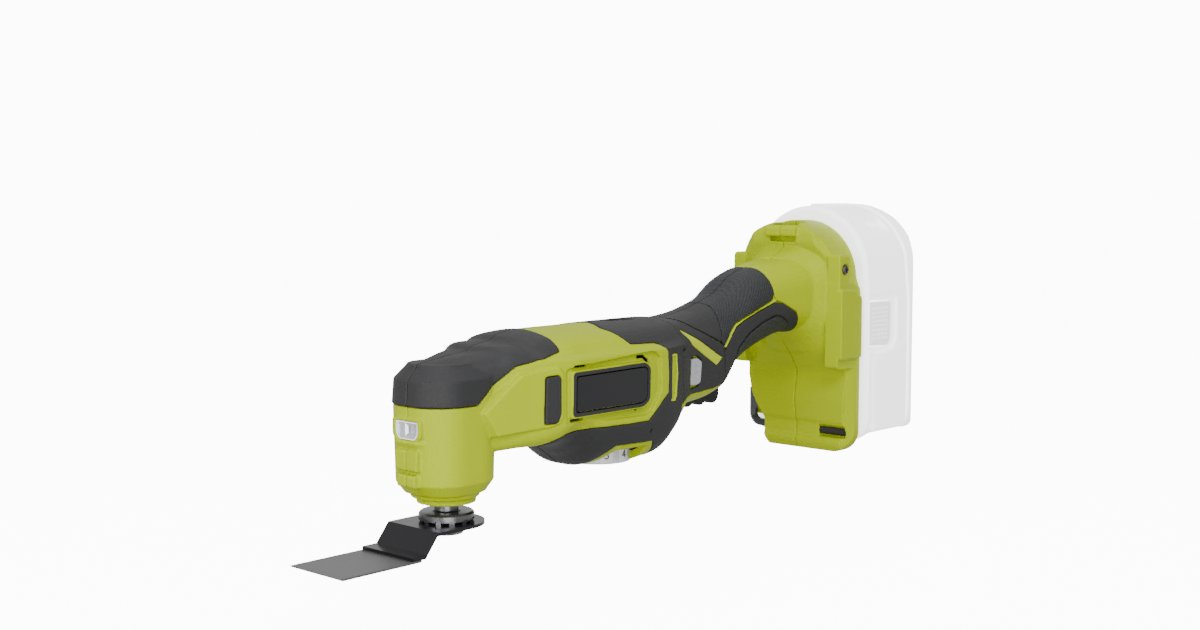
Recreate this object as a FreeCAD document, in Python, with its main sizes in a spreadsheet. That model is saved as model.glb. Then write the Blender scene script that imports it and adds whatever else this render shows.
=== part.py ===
import FreeCAD, Part
import math
import os
import Sketcher
from FreeCAD import Placement, Rotation, Vector

# Cordless oscillating multi tool.
# Origin on the spindle axis at the accessory seat, +X from the spindle back to the
# battery, +Y to the tool's right side, +Z up.  Millimetres.

doc = FreeCAD.newDocument("oscillating_multi_tool")

# ---------------------------------------------------------------- driving dimensions
DIMS = {
    "skin": 1.5,                # soft overmould thickness
    "wall": 2.2,                # moulded housing wall under the overmould
    "fit": 0.3,                 # gap round pieces that only have to pass
    "run": 0.04,                # radial running clearance of shafts
    "motor_z": 46,              # height of the motor axis over the accessory seat
    "throw": 0.8,               # eccentricity of the drive
    "spindle_r": 5,
    "spindle_top": 58.2,
    "screw_r": 2.9,
    "flange_r": 11.7,
    "flange_top": 4.2,
    "pin_ring": 8.2,
    "pin_r": 1.4,
    "blade_half": 16,
    "blade_thick": 1.4,
    "blade_drop": 8.1,
    "blade_bend": 18.2,
    "blade_foot": 24.6,
    "blade_weld": 32,
    "blade_front": 68,
    "cutter_thick": 0.9,
    "washer_r": 9.6,
    "washer_thick": 1.2,
    "head_r": 8.2,
    "head_low": 5.6,
    "lower_bearing_r": 9.5,
    "upper_bearing_r": 8,
    "upper_journal_r": 4,
    "case_r": 15,
    "case_room_r": 13.2,
    "case_nose_r": 10.9,
    "tunnel_half": 14,
    "tunnel_room": 12.2,
    "tunnel_end": 48,
    "fork_gap": 8.4,
    "fork_half": 10.6,
    "fork_reach": 33,
    "ecc_bearing_r": 6.5,
    "ecc_journal_r": 3,
    "shaft_r": 2.5,
    "shaft_front": 25.5,
    "shaft_end": 118,
    "can_r": 18.5,
    "can_front": 58.5,
    "can_end": 110,
    "core_r": 14.2,
    "core_front": 66,
    "core_end": 90,
    "commutator_r": 7.5,
    "fan_r": 16.5,
    "dial_x": 93,
    "dial_r": 16,
    "dial_low": 13.5,
    "dial_top": 20.5,
    "trigger_front": 147,
    "trigger_rear": 175,
    "trigger_low": 31.8,
    "trigger_top": 43,
    "trigger_half": 6.8,
    "spring_r": 3,
    "spring_wire": 0.45,
    "switch_low": 52,
    "lock_front": 137,
    "lock_rear": 144,
    "lock_low": 45,
    "lock_top": 58.5,
    "seam_x": 262,              # where the foot meets the battery
    "seam_gap": 0.3,
    "pack_split": 287,
    "pack_rear": 313,
    "pack_wall": 2.6,
    "stem_front": 214,
    "stem_half": 13,
    "stem_low": 69.6,
    "stem_top": 93.4,
    "stem_round": 8,
    "cell_r": 9.1,
    "cell_long": 65,
    "key_x": 255.5,
    "key_z": 9.5,
    "key_r": 2.2,
    "key_reach": 29,
    "key_bend": 5,
    "pad_out": 37.6,            # raised side pads of the foot
    "plate_front": 45,
    "plate_rear": 92,
    "plate_low": 42,
    "plate_top": 60.3,
    "plate_in": 28.8,
    "plate_out": 31.5,
    "lens_half": 7,
    "lens_low": 36.5,
    "lens_top": 44.2,
    "latch_front": 265,
    "latch_rear": 285,
    "latch_low": 55,
    "latch_top": 79,
    "foot_screw_x": 257,
    "foot_screw_z": 95.5,
    "foot_screw_out": 31.2,
    "foot_screw_long": 7,
    "foot_screw_head": 1.8,     # thickness of the foot screws' heads
    "foot_screw_slot": 1.2,
    "low_bearing_low": 13.4,
    "low_bearing_top": 20.4,
    "top_bearing_low": 54,
    "top_bearing_top": 59,
    "seal_low": 9.4,
    "seal_top": 12.2,
    "clip_in": 7.4,
    "clip_thick": 1,
    "fork_low": 41.5,
    "fork_top": 50.5,
    "hub_r": 10,
    "hub_extra": 1,             # how far the hub stands out over and under the fork's arm
    "journal_top": 52,
    "bore_depth": 22,
    "seat_step": 0.4,
    "cam_front": 26,
    "cam_end": 32.5,
    "cam_wall": 0.6,
    "cam_bearing_front": 27,
    "cam_bearing_end": 32,
    "weight_r": 9.4,
    "small_bearing_r": 6.5,     # both motor bearings
    "front_bearing_front": 44.2,
    "front_bearing_end": 47.8,
    "rear_bearing_front": 111.4,
    "rear_bearing_end": 115.4,
    "fan_front": 50.5,
    "fan_back": 56,
    "fan_end": 57.2,
    "fan_hub_r": 5,
    "coil_r": 12,
    "coil_front": 60.8,
    "coil_end": 95.2,
    "drum_front": 96.4,
    "drum_end": 104,
    "can_wall": 1.2,
    "magnet_in": 14.8,
    "magnet_front": 63,
    "magnet_end": 93,
    "brush_front": 98,
    "brush_end": 102,
    "brush_half": 1.8,
    "bump_r": 4.6,
    "switch_half": 8.5,
    "switch_top": 66,
    "lock_left": 22.6,
    "lock_right": 19.2,
    "lock_waist": 12,
    "terminal_front": 197,
    "terminal_end": 206,
    "terminal_half": 9.5,
    "terminal_low": 70,
    "terminal_top": 88,
    "contact_low": 79.5,
    "contact_top": 84.5,
    "contact_pitch": 6,
    "board_low": 36,
    "board_top": 37.6,
}

# Cross sections of the body along X: x, low, top, half width, top radius, low radius.
TRUNK = {
    "a": (-15.5, 36, 66.3, 12, 6, 5),
    "b": (11.6, 30, 71, 18.6, 9, 5),
    "c": (24, 29.5, 74, 24, 10, 6),
    "d": (40, 27, 77, 29, 12, 10),
    "e": (58, 17.5, 77.3, 31, 13, 17),
    "f": (90, 15.5, 77.3, 31, 13, 18),
    "g": (112, 16.5, 77.3, 30, 13, 17),
    "i": (126, 26, 77.2, 26, 12, 12),
    "j": (138, 33.5, 76.8, 21.5, 11, 9),
    "k": (152, 35, 80, 20, 12, 9),
    "l": (168, 41.5, 84.3, 19, 13, 12),
    "n": (177, 51, 87.5, 18.5, 14, 14),
    "o": (192, 55.5, 93.7, 18.2, 15, 15),
    "p": (207, 60.5, 98.3, 18.5, 15, 15),
    "q": (222, 64, 100.7, 20, 15, 15),
    "u": (246, 62, 104, 24, 16, 16),
}
TRUNK_KEYS = ("at", "low", "top", "half", "rtop", "rlow")

# Cross sections of the head barrel along Z: z, front x, back x, half width, corner radius.
BARREL = {
    "a": (12.7, -17.5, 16.5, 16, 9),
    "b": (17.6, -21.4, 20.5, 19.6, 11),
    "c": (50, -22.3, 21.5, 20.4, 11.5),
    "d": (60.5, -21.2, 24, 19.6, 11),
    "e": (66.4, -15.8, 26, 13.5, 8),
}
BARREL_KEYS = ("at", "front", "back", "half", "rad")

# Upright outlines with a flat base, round low corners, leaning sides and a domed top.
UPRIGHT = {
    "foot": (34, -1.5, 12, 58, 28.5, 96, 121),
    "recess": (30.5, 16, 6, 56, 25.5, 92, 105),
    "pack": (38.3, 3.5, 14, 78, 36, 102, 129),
}
UPRIGHT_KEYS = ("half", "low", "corner", "shoulder", "neckhalf", "neck", "crown")


def fill_sheet():
    """Write every driving dimension into the spreadsheet under its own alias."""
    cells = dict(DIMS)
    tables = (("trunk", TRUNK, TRUNK_KEYS), ("barrel", BARREL, BARREL_KEYS),
              ("", UPRIGHT, UPRIGHT_KEYS))
    for prefix, table, keys in tables:
        for name, row in table.items():
            for key, value in zip(keys, row):
                cells["_".join(word for word in (prefix, name, key) if word)] = value
    dims = doc.addObject("Spreadsheet::Sheet", "Dims")
    for row, (alias, value) in enumerate(cells.items(), start=1):
        dims.set("A%d" % row, alias)
        dims.set("B%d" % row, str(value))
        dims.setAlias("B%d" % row, alias)
    doc.recompute()
    return dims


sheet = fill_sheet()


class Amount:
    """A size that keeps its spreadsheet expression together with its present value."""

    def __init__(self, text, value):
        self.text = text
        self.value = float(value)

    def __add__(self, other):
        other = amount(other)
        return Amount("(%s + %s)" % (self.text, other.text), self.value + other.value)

    def __sub__(self, other):
        other = amount(other)
        return Amount("(%s - %s)" % (self.text, other.text), self.value - other.value)

    def __mul__(self, other):
        other = amount(other)
        return Amount("(%s * %s)" % (self.text, other.text), self.value * other.value)

    def __truediv__(self, other):
        other = amount(other)
        return Amount("(%s / %s)" % (self.text, other.text), self.value / other.value)

    def __neg__(self):
        return Amount("(0 - %s)" % self.text, -self.value)

    def __radd__(self, other):
        return amount(other) + self

    def __rsub__(self, other):
        return amount(other) - self

    def __rmul__(self, other):
        return amount(other) * self


def amount(size):
    """Take a plain number as an Amount."""
    if isinstance(size, Amount):
        return size
    return Amount("(0 - %s)" % -size if size < 0 else str(size), size)


class Cells:
    """Reads a cell by its alias, such as D.skin, as an Amount."""

    def __getattr__(self, alias):
        return self(alias)

    def __call__(self, alias):
        return Amount("Dims." + alias, sheet.get(alias))


D = Cells()
parts = {}


# ---------------------------------------------------------------- building helpers
TURN = {
    "Z": Rotation(),
    "X": Rotation(Vector(0, 1, 0), 90),
    "Y": Rotation(Vector(1, 0, 0), -90),
}
FACING_X = Rotation(Vector(1, 1, 1), 120)


def bind(obj, **sizes):
    for prop, size in sizes.items():
        obj.setExpression(prop, amount(size).text)
    return obj


def put(obj, x=0, y=0, z=0, turn=Rotation()):
    """Place an object at bound coordinates."""
    obj.Placement = Placement(Vector(), turn)
    for axis, size in zip("xyz", (x, y, z)):
        obj.setExpression("Placement.Base." + axis, amount(size).text)
    return obj


def cylinder(name, radius, height, x=0, y=0, z=0, along="Z"):
    """A cylinder that starts at x, y, z and runs along an axis."""
    obj = doc.addObject("Part::Cylinder", name)
    bind(obj, Radius=radius, Height=height)
    return put(obj, x, y, z, TURN[along])


def block(name, x, y, z):
    """A box between three pairs of low and high coordinates."""
    obj = doc.addObject("Part::Box", name)
    bind(obj, Length=amount(x[1]) - x[0], Width=amount(y[1]) - y[0], Height=amount(z[1]) - z[0])
    return put(obj, x[0], y[0], z[0])


def fuse(name, *shapes):
    obj = doc.addObject("Part::MultiFuse", name)
    obj.Shapes = list(shapes)
    return obj


def cut(name, base, *tools):
    tool = tools[0] if len(tools) == 1 else fuse(name + "_tools", *tools)
    obj = doc.addObject("Part::Cut", name)
    obj.Base = base
    obj.Tool = tool
    return obj


def common(name, first, second):
    obj = doc.addObject("Part::Common", name)
    obj.Base = first
    obj.Tool = second
    return obj


def several(name, *solids):
    """Separate solids that share one node."""
    obj = doc.addObject("Part::Compound", name)
    obj.Links = list(solids)
    return obj


def keep(name, obj):
    """Hand in an object as the node with this name."""
    obj.Label = name
    parts[name] = obj
    return obj


def bound(sketch, kind, geometry, end, size):
    """Add a constraint whose size comes from the sheet."""
    size = amount(size)
    index = sketch.addConstraint(Sketcher.Constraint(kind, geometry, end, size.value))
    sketch.setExpression("Constraints[%d]" % index, size.text)


def pin_point(sketch, geometry, end, across, up):
    """Fix a sketch point at two bound coordinates."""
    for kind, size, axis in (("DistanceX", amount(across), -2), ("DistanceY", amount(up), -1)):
        if abs(size.value) < 1e-9:
            sketch.addConstraint(Sketcher.Constraint("PointOnObject", geometry, end, axis))
        else:
            bound(sketch, kind, geometry, end, size)


def polygon(sketch, corners):
    """A closed outline of straight edges whose corners are bound coordinates."""
    count = len(corners)
    spots = [Vector(amount(across).value, amount(up).value, 0) for across, up in corners]
    for i in range(count):
        sketch.addGeometry(Part.LineSegment(spots[i], spots[(i + 1) % count]), False)
    for i in range(count):
        sketch.addConstraint(Sketcher.Constraint("Coincident", i, 2, (i + 1) % count, 1))
    for i, (across, up) in enumerate(corners):
        pin_point(sketch, i, 1, across, up)


def rounded_box(sketch, left, right, low, top, low_radius, top_radius):
    """A closed rectangle with an arc at each corner, from low left round to top left."""
    left, right, low, top = amount(left), amount(right), amount(low), amount(top)
    low_radius, top_radius = amount(low_radius), amount(top_radius)
    centres = ((left + low_radius, low + low_radius, low_radius),
               (right - low_radius, low + low_radius, low_radius),
               (right - top_radius, top - top_radius, top_radius),
               (left + top_radius, top - top_radius, top_radius))
    arcs = []
    for quarter, (across, up, radius) in enumerate(centres):
        start = math.pi + quarter * math.pi / 2
        circle = Part.Circle(Vector(across.value, up.value, 0), Vector(0, 0, 1), radius.value)
        arcs.append(Part.ArcOfCircle(circle, start, start + math.pi / 2))
    for arc in arcs:
        sketch.addGeometry(arc, False)
    for i in range(4):
        sketch.addGeometry(Part.LineSegment(arcs[i].EndPoint, arcs[(i + 1) % 4].StartPoint), False)
    for i in range(4):
        sketch.addConstraint(Sketcher.Constraint("Tangent", i, 2, 4 + i, 1))
        sketch.addConstraint(Sketcher.Constraint("Tangent", 4 + i, 2, (i + 1) % 4, 1))
    for i, (across, up, radius) in enumerate(centres):
        pin_point(sketch, i, 3, across, up)
        index = sketch.addConstraint(Sketcher.Constraint("Radius", i, radius.value))
        sketch.setExpression("Constraints[%d]" % index, radius.text)


def sketch_in(body, role):
    """A sketch on one of the body's own origin planes."""
    sketch = body.newObject("Sketcher::SketchObject", body.Name + "_outline")
    plane = [feature for feature in body.Origin.OriginFeatures if feature.Role == role][0]
    sketch.AttachmentSupport = [(plane, "")]
    sketch.MapMode = "FlatFace"
    return sketch


def turned(name, profile, x=0, y=0, z=0, along="Z"):
    """A turned piece: its profile is a ring of (radius, distance along the axis) corners."""
    body = doc.addObject("PartDesign::Body", name)
    sketch = sketch_in(body, "XZ_Plane")
    polygon(sketch, profile)
    revolution = body.newObject("PartDesign::Revolution", name + "_turn")
    revolution.Profile = sketch
    revolution.ReferenceAxis = (sketch, ["V_Axis"])
    revolution.Angle = 360
    body.Tip = revolution
    return put(body, x, y, z, TURN[along])


def ring(name, inner, outer, start, end, **place):
    """A plain ring with its faces at start and end along the axis."""
    return turned(name, [(inner, start), (outer, start), (outer, end), (inner, end)], **place)


def bearing(name, inner, outer, start, end, **place):
    """A ball bearing with its shields set back between the two rings."""
    inner, outer, start, end = amount(inner), amount(outer), amount(start), amount(end)
    land = 1.0
    sunk = 0.4
    lip, rim = inner + land, outer - land
    low, high = start + sunk, end - sunk
    profile = [(inner, start), (lip, start), (lip, low), (rim, low), (rim, start), (outer, start),
               (outer, end), (rim, end), (rim, high), (lip, high), (lip, end), (inner, end)]
    return turned(name, profile, **place)


def pad(name, role, draw, length, midplane=False):
    """A padded body: draw(sketch) makes its outline on the origin plane with this role."""
    body = doc.addObject("PartDesign::Body", name)
    sketch = sketch_in(body, role)
    draw(sketch)
    feature = body.newObject("PartDesign::Pad", name + "_pad")
    feature.Profile = sketch
    feature.Midplane = midplane
    bind(feature, Length=length)
    body.Tip = feature
    return body


def side_pad(name, outline, half, y=0):
    """A plate with an outline in X and Z, reaching half each way along Y from a plane."""
    body = pad(name, "XZ_Plane", lambda sketch: polygon(sketch, outline), 2 * amount(half), True)
    return put(body, 0, y, 0)


def plan_pad(name, outline, low, top):
    """A plate with an outline in X and Y, from one height to another."""
    body = pad(name, "XY_Plane", lambda sketch: polygon(sketch, outline), amount(top) - low)
    return put(body, 0, 0, low)


def tube_pad(name, half, low, top, radius, start, end):
    """A bar with a rounded section in Y and Z, running along X from start to end."""
    def draw(sketch):
        rounded_box(sketch, -amount(half), half, low, top, radius, radius)
    body = pad(name, "XY_Plane", draw, amount(end) - start)
    return put(body, start, 0, 0, FACING_X)


def upright(name, kind, start, end, inset=0):
    """A solid with one of the upright outlines, running along X from start to end."""
    half, low = D(kind + "_half") - inset, D(kind + "_low") + inset
    corner = D(kind + "_corner") - inset
    shoulder, neck = D(kind + "_shoulder"), D(kind + "_neck")
    neck_half, crown = D(kind + "_neckhalf") - inset, D(kind + "_crown") - inset
    base, knee = half - corner, low + corner
    rise = crown - neck
    dome = (neck_half * neck_half + rise * rise) / (2 * rise)

    def draw(sketch):
        spots = [(-base, low), (base, low), (half, knee), (half, shoulder), (neck_half, neck),
                 (-neck_half, neck), (-half, shoulder), (-half, knee)]
        bulges = {1: (base.value, knee.value, corner), 4: (0, (crown - dome).value, dome),
                  7: (-base.value, knee.value, corner)}
        flat = [Vector(across.value, up.value, 0) for across, up in spots]
        for i, spot in enumerate(flat):
            following = flat[(i + 1) % len(flat)]
            if i not in bulges:
                sketch.addGeometry(Part.LineSegment(spot, following), False)
                continue
            centre = Vector(bulges[i][0], bulges[i][1], 0)
            radius = bulges[i][2].value
            circle = Part.Circle(centre, Vector(0, 0, 1), radius)
            first = math.atan2(spot.y - centre.y, spot.x - centre.x)
            last = math.atan2(following.y - centre.y, following.x - centre.x)
            if last < first:
                last += 2 * math.pi
            sketch.addGeometry(Part.ArcOfCircle(circle, first, last), False)
        for i in range(len(spots)):
            sketch.addConstraint(Sketcher.Constraint("Coincident", i, 2, (i + 1) % len(spots), 1))
        for i, (across, up) in enumerate(spots):
            pin_point(sketch, i, 1, across, up)
        for i, (_, _, radius) in bulges.items():
            index = sketch.addConstraint(Sketcher.Constraint("Radius", i, radius.value))
            sketch.setExpression("Constraints[%d]" % index, radius.text)

    body = pad(name, "XY_Plane", draw, amount(end) - start)
    return put(body, start, 0, 0, FACING_X)


# ---------------------------------------------------------------- outer form of the body
def less(size, inset, least=1.0):
    """A corner radius reduced by the inset, but never to nothing."""
    smaller = size - inset
    return smaller if smaller.value > least else amount(least)


def loft(name, sketches):
    obj = doc.addObject("Part::Loft", name)
    obj.Sections = sketches
    obj.Solid = True
    obj.Ruled = True
    return obj


def trunk(name, inset):
    """The arm, motor body, neck and grip as one ruled loft along X."""
    sketches = []
    for row in TRUNK:
        at, low, top, half, round_top, round_low = (D("trunk_%s_%s" % (row, key))
                                                    for key in TRUNK_KEYS)
        sketch = doc.addObject("Sketcher::SketchObject", "%s_%s" % (name, row))
        rounded_box(sketch, inset - half, half - inset, low + inset, top - inset,
                    less(round_low, inset), less(round_top, inset))
        first = row == list(TRUNK)[0]
        put(sketch, at + inset if first else at, 0, 0, FACING_X)
        sketches.append(sketch)
    return loft(name, sketches)


def barrel(name, inset):
    """The head barrel as one ruled loft along Z, closed below and above."""
    sketches = []
    lowest = list(BARREL)[:2]
    highest = list(BARREL)[-2:]
    for row in BARREL:
        at, front, back, half, radius = (D("barrel_%s_%s" % (row, key)) for key in BARREL_KEYS)
        sketch = doc.addObject("Sketcher::SketchObject", "%s_%s" % (name, row))
        rounded = less(radius, inset)
        rounded_box(sketch, front + inset, back - inset, inset - half, half - inset, rounded, rounded)
        if row in lowest:
            at = at + inset
        if row in highest:
            at = at - inset
        put(sketch, 0, 0, at)
        sketches.append(sketch)
    return loft(name, sketches)


no_inset = amount(0)
shell = D.skin + D.wall

trunk_outer = trunk("trunk_outer", no_inset)
trunk_skin = trunk("trunk_skin", D.skin)
trunk_cavity = trunk("trunk_cavity", shell)
barrel_outer = barrel("barrel_outer", no_inset)
barrel_cavity = barrel("barrel_cavity", shell)

FAR = 60                        # larger than any half width of the tool
LOW, HIGH = -40, 180            # below and above everything
halves = {"left": block("left_side", (-60, 400), (-FAR, 0), (LOW, HIGH)),
          "right": block("right_side", (-60, 400), (0, FAR), (LOW, HIGH))}


def split(name, whole):
    """Part a symmetrical piece at the middle plane into its left and right nodes."""
    for side, space in halves.items():
        keep("%s_%s" % (side, name), common("%s_%s_half" % (side, name), whole, space))


# ---------------------------------------------------------------- foot
foot_profile = [(D.seam_x, -3), (255, -3), (249.6, 4), (249.6, 16), (251, 20), (253.4, 27), (252.4, 40),
                (244, 53), (236, 68), (233, 100), (235.5, 112), (243, 123), (D.seam_x, 123)]
foot_plan = [(232, -13), (247, -22), (259, -32.5), (D.seam_x, -34.5), (D.seam_x, 34.5),
             (259, 32.5), (247, 22), (232, 13)]
foot_side = side_pad("foot_side", foot_profile, FAR)
foot_shadow = plan_pad("foot_shadow", foot_plan, LOW, HIGH)
foot_block = upright("foot_block", "foot", 230, D.seam_x)
foot_solid = common("foot_solid", common("foot_cut", foot_block, foot_side), foot_shadow)
pad_profile = [(248, 50), (259, 46), (D.seam_x, 46), (D.seam_x, 90), (252, 90), (248, 84)]
foot_pads = side_pad("foot_pads", pad_profile, D.pad_out)
screw_pads = side_pad("screw_pads", [(251, 88), (D.seam_x, 88), (D.seam_x, 101), (251, 101)], 31)
recess_front = [(D.seam_x + 1, 15), (257, 15), (256.5, 40), (248.5, 54), (240.5, 69), (238, 92),
                (240, 106), (D.seam_x + 1, 106)]
foot_recess = common("foot_recess", upright("recess_block", "recess", 230, D.seam_x + 1),
                     side_pad("recess_side", recess_front, FAR))
foot_room = common("foot_room", foot_recess,
                   plan_pad("recess_shadow", [(236, -9), (250, -19.5), (D.seam_x + 1, -29),
                                              (D.seam_x + 1, 29), (250, 19.5), (236, 9)], LOW, HIGH))
lanyard_half = 7.5
lanyard_slot = block("lanyard_slot", (228, 249), (-lanyard_half, lanyard_half), (108.2, 113))
lanyard_well = block("lanyard_well", (242.5, 249), (-lanyard_half, lanyard_half), (108.2, 130))
stem_port = tube_pad("stem_port", D.stem_half + 1, D.stem_low - 1, D.stem_top + 1, D.stem_round,
                     236, D.seam_x + 1)

# ---------------------------------------------------------------- head and body shells
boss = cylinder("boss", 12.5, 6, 0, 0, 8)
outer = fuse("outer", trunk_outer, barrel_outer, boss, foot_solid, foot_pads, screw_pads)
hollow = fuse("hollow", trunk_cavity, barrel_cavity, foot_room, stem_port)
shell_walls = cut("shell_walls", outer, hollow)

cover_line = [(-40, 50), (0, 50), (18.5, 64.5), (30, 66), (47, 67.5), (44, 90), (-40, 90)]
cover_space = side_pad("cover_space", cover_line, FAR)
split("head_cover", common("head_cover", shell_walls, cover_space))

belt_line = [(24, 0), (124, 0), (131, 20), (131, 95), (62, 95), (78, 76), (90, 68.6), (108, 68.2),
             (114, 62), (114, 42), (111, 37.5), (102, 33), (48, 33), (42, 32), (24, 29.6)]
dial_window = side_pad("dial_window", [(74, 5), (86, 21.6), (110.5, 21.6), (112, 5)], FAR)
skin_layer = cut("skin_layer", trunk_outer, trunk_skin)
belt_skin = common("belt_skin", skin_layer, side_pad("belt_space", belt_line, FAR))
dial_room = cylinder("dial_room", D.dial_r + 0.5, 21, D.dial_x, 0, 0)
belt = cut("belt", belt_skin, dial_window, dial_room)
grip_line = [(131, 20), (240, 20), (240, 120), (131, 120)]
grip_skin = common("grip_skin", skin_layer, side_pad("grip_space", grip_line, FAR))
grip_cover = cut("grip_cover", grip_skin, foot_solid)

trigger_port = block("trigger_port", (D.trigger_front - 1, D.trigger_rear + 1),
                     (-D.trigger_half - D.fit, D.trigger_half + D.fit), (20, 56))
lock_port = block("lock_port", (D.lock_front - D.fit, D.lock_rear + D.fit), (-FAR, FAR),
                  (D.lock_low - D.fit, D.lock_top + D.fit))
ports = (trigger_port, lock_port)
split("body_overmould", cut("belt_open", belt, *ports))
split("grip_overmould", cut("grip_open", grip_cover, *ports))

# Bosses for the case screws cross the body where it is clear of the motor and the battery.
SCREW_PLACES = ((48, 69.5), (108, 69.5), (58, 23.2), (116, 28), (129, 67), (186, 72))
boss_r, hole_r, sink_r = 3.6, 1.5, 3.0
bosses = fuse("bosses", *[cylinder("screw_boss_%d" % i, boss_r, 2 * FAR, x, -FAR, z, "Y")
                          for i, (x, z) in enumerate(SCREW_PLACES)])
screw_bosses = common("screw_bosses", bosses, trunk_skin)
head_seat, screw_tip = 12, -12
holes = []
screws = []
for i, (x, z) in enumerate(SCREW_PLACES):
    holes.append(cylinder("screw_hole_%d" % i, hole_r, FAR + screw_tip * -1, x, screw_tip, z, "Y"))
    holes.append(cylinder("screw_sink_%d" % i, sink_r, FAR, x, head_seat, z, "Y"))
    shaft = cylinder("screw_shaft_%d" % i, hole_r, head_seat - screw_tip, x, screw_tip, z, "Y")
    head = cylinder("screw_head_%d" % i, sink_r - 0.2, 2.2, x, head_seat, z, "Y")
    drive = cylinder("screw_drive_%d" % i, 1.1, 2, x, head_seat + 1, z, "Y")
    screws.append(cut("case_screw_%d" % i, fuse("screw_blank_%d" % i, shaft, head), drive))
keep("case_screws", several("case_screw_group", *screws))



def foot_screw_piece(name, side, radius, depth):
    """A round piece that reaches in by its depth from the outer end of a foot screw."""
    start = -D.foot_screw_out if side == "left" else D.foot_screw_out - depth
    return cylinder("%s_%s" % (name, side), radius, depth, D.foot_screw_x, start, D.foot_screw_z, "Y")


foot_blanks = []
foot_screws = []
for side in halves:
    body = foot_screw_piece("foot_screw", side, 1.5, D.foot_screw_long)
    rim = foot_screw_piece("foot_rim", side, 2.6, D.foot_screw_head)
    slot = foot_screw_piece("foot_slot", side, 1.2, D.foot_screw_slot)
    blank = fuse("foot_blank_%s" % side, body, rim)
    foot_blanks.append(blank)
    foot_screws.append(cut("foot_screw_%s_cut" % side, blank, slot))
keep("foot_screws", several("foot_screw_group", *foot_screws))

# Cooling slots through the side walls, front and rear of the motor.
vents = [block("vent_%d" % i, x, (-FAR, FAR), z)
         for i, (x, z) in enumerate((((50, 58), (62.5, 64.6)), ((50, 58), (37.6, 39.7)),
                                     ((103, 105), (45, 66)), ((117.6, 119.4), (40, 60))))]

plate_line = [(D.plate_front, D.plate_low), (D.plate_rear - 1, D.plate_low + 1),
              (D.plate_rear + 2, D.plate_low + 4), (D.plate_rear + 2, D.plate_top - 3),
              (D.plate_rear, D.plate_top), (D.plate_front + 2, D.plate_top)]
plate_half = (D.plate_out - D.plate_in) / 2
plate_mid = (D.plate_out + D.plate_in) / 2
plates = [side_pad("side_plate_left", plate_line, plate_half, -plate_mid),
          side_pad("side_plate_right", plate_line, plate_half, plate_mid)]
keep("left_side_plate", plates[0])
keep("right_side_plate", plates[1])

lens_port = block("lens_port", (-30, -16), (-D.lens_half, D.lens_half), (D.lens_low, D.lens_top))
nose_port = cylinder("nose_port", D.case_nose_r + 0.05, 20, 0, 0, 0)

# The stored key lies across the foot in a tunnel, with its short arm up the right side.
key_path = doc.addObject("Sketcher::SketchObject", "key_path")
key_start, key_end, key_rise = -D.key_reach - 2, D.key_reach + 1.5, D.key_z + 19
corner_y, corner_z = key_end - D.key_bend, D.key_z + D.key_bend
key_path.addGeometry(Part.LineSegment(Vector(key_start.value, D.key_z.value, 0),
                                      Vector(corner_y.value, D.key_z.value, 0)), False)
bend_centre = Vector(corner_y.value, corner_z.value, 0)
bend_circle = Part.Circle(bend_centre, Vector(0, 0, 1), D.key_bend.value)
key_path.addGeometry(Part.ArcOfCircle(bend_circle, -math.pi / 2, 0), False)
key_path.addGeometry(Part.LineSegment(Vector(key_end.value, corner_z.value, 0),
                                      Vector(key_end.value, key_rise.value, 0)), False)
key_path.addConstraint(Sketcher.Constraint("Tangent", 0, 2, 1, 1))
key_path.addConstraint(Sketcher.Constraint("Tangent", 1, 2, 2, 1))
pin_point(key_path, 0, 1, key_start, D.key_z)
pin_point(key_path, 1, 3, corner_y, corner_z)
pin_point(key_path, 2, 2, key_end, key_rise)
put(key_path, D.key_x, 0, 0, FACING_X)


def key_bar(name, radius):
    """A hexagonal bar bent along the key's path."""
    face = doc.addObject("Part::RegularPolygon", name + "_face")
    face.Polygon = 6
    bind(face, Circumradius=radius)
    put(face, D.key_x, key_start, D.key_z, TURN["Y"])
    sweep = doc.addObject("Part::Sweep", name)
    sweep.Sections = [face]
    sweep.Spine = (key_path, ["Edge1", "Edge2", "Edge3"])
    sweep.Solid = True
    sweep.Transition = "Right corner"
    return sweep


keep("hex_key", key_bar("hex_key_bar", D.key_r))
key_room = D.key_r + D.fit
key_tunnel = cylinder("key_tunnel", key_room, 2 * FAR, D.key_x, -FAR, D.key_z, "Y")
key_groove = block("key_groove", (D.key_x - key_room, D.key_x + key_room),
                   (corner_y - D.key_bend, FAR), (D.key_z - key_room, key_rise + D.fit))

shell_tools = [cover_space, belt_skin, grip_cover, dial_window, lens_port, nose_port, key_tunnel,
               key_groove, lanyard_slot, lanyard_well, dial_room]
shell_tools += list(ports) + holes + vents + plates + foot_blanks
housing = cut("housing", fuse("housing_blank", shell_walls, screw_bosses), *shell_tools)
split("housing", housing)

# ---------------------------------------------------------------- gear case
nose = cylinder("case_nose", D.case_nose_r, 14, 0, 0, 9)
chest = cylinder("case_chest", D.case_r, 34, 0, 0, 22)
crown = cylinder("case_crown", 10, 4.6, 0, 0, 55.9)
tunnel = block("case_tunnel", (0, D.tunnel_end), (-D.tunnel_half, D.tunnel_half), (34.2, 57))
flange = cylinder("case_flange", 16, 4, D.tunnel_end - 4, 0, D.motor_z, "X")
case_blank = fuse("case_blank", nose, chest, crown, tunnel, flange)
room = fuse("case_room", cylinder("case_round_room", D.case_room_r, 29.5, 0, 0, 24),
            block("case_long_room", (0, D.tunnel_end - 4), (-D.tunnel_room, D.tunnel_room),
                  (38, 53.5)),
            cylinder("case_weight_room", 10.6, 10, D.tunnel_end - 14, 0, D.motor_z, "X"))
low_seat = cylinder("case_low_seat", D.lower_bearing_r, 11.6, 0, 0, 12.4)
low_way = cylinder("case_low_way", D.spindle_r + 1.2, 10, 0, 0, 8)
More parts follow.
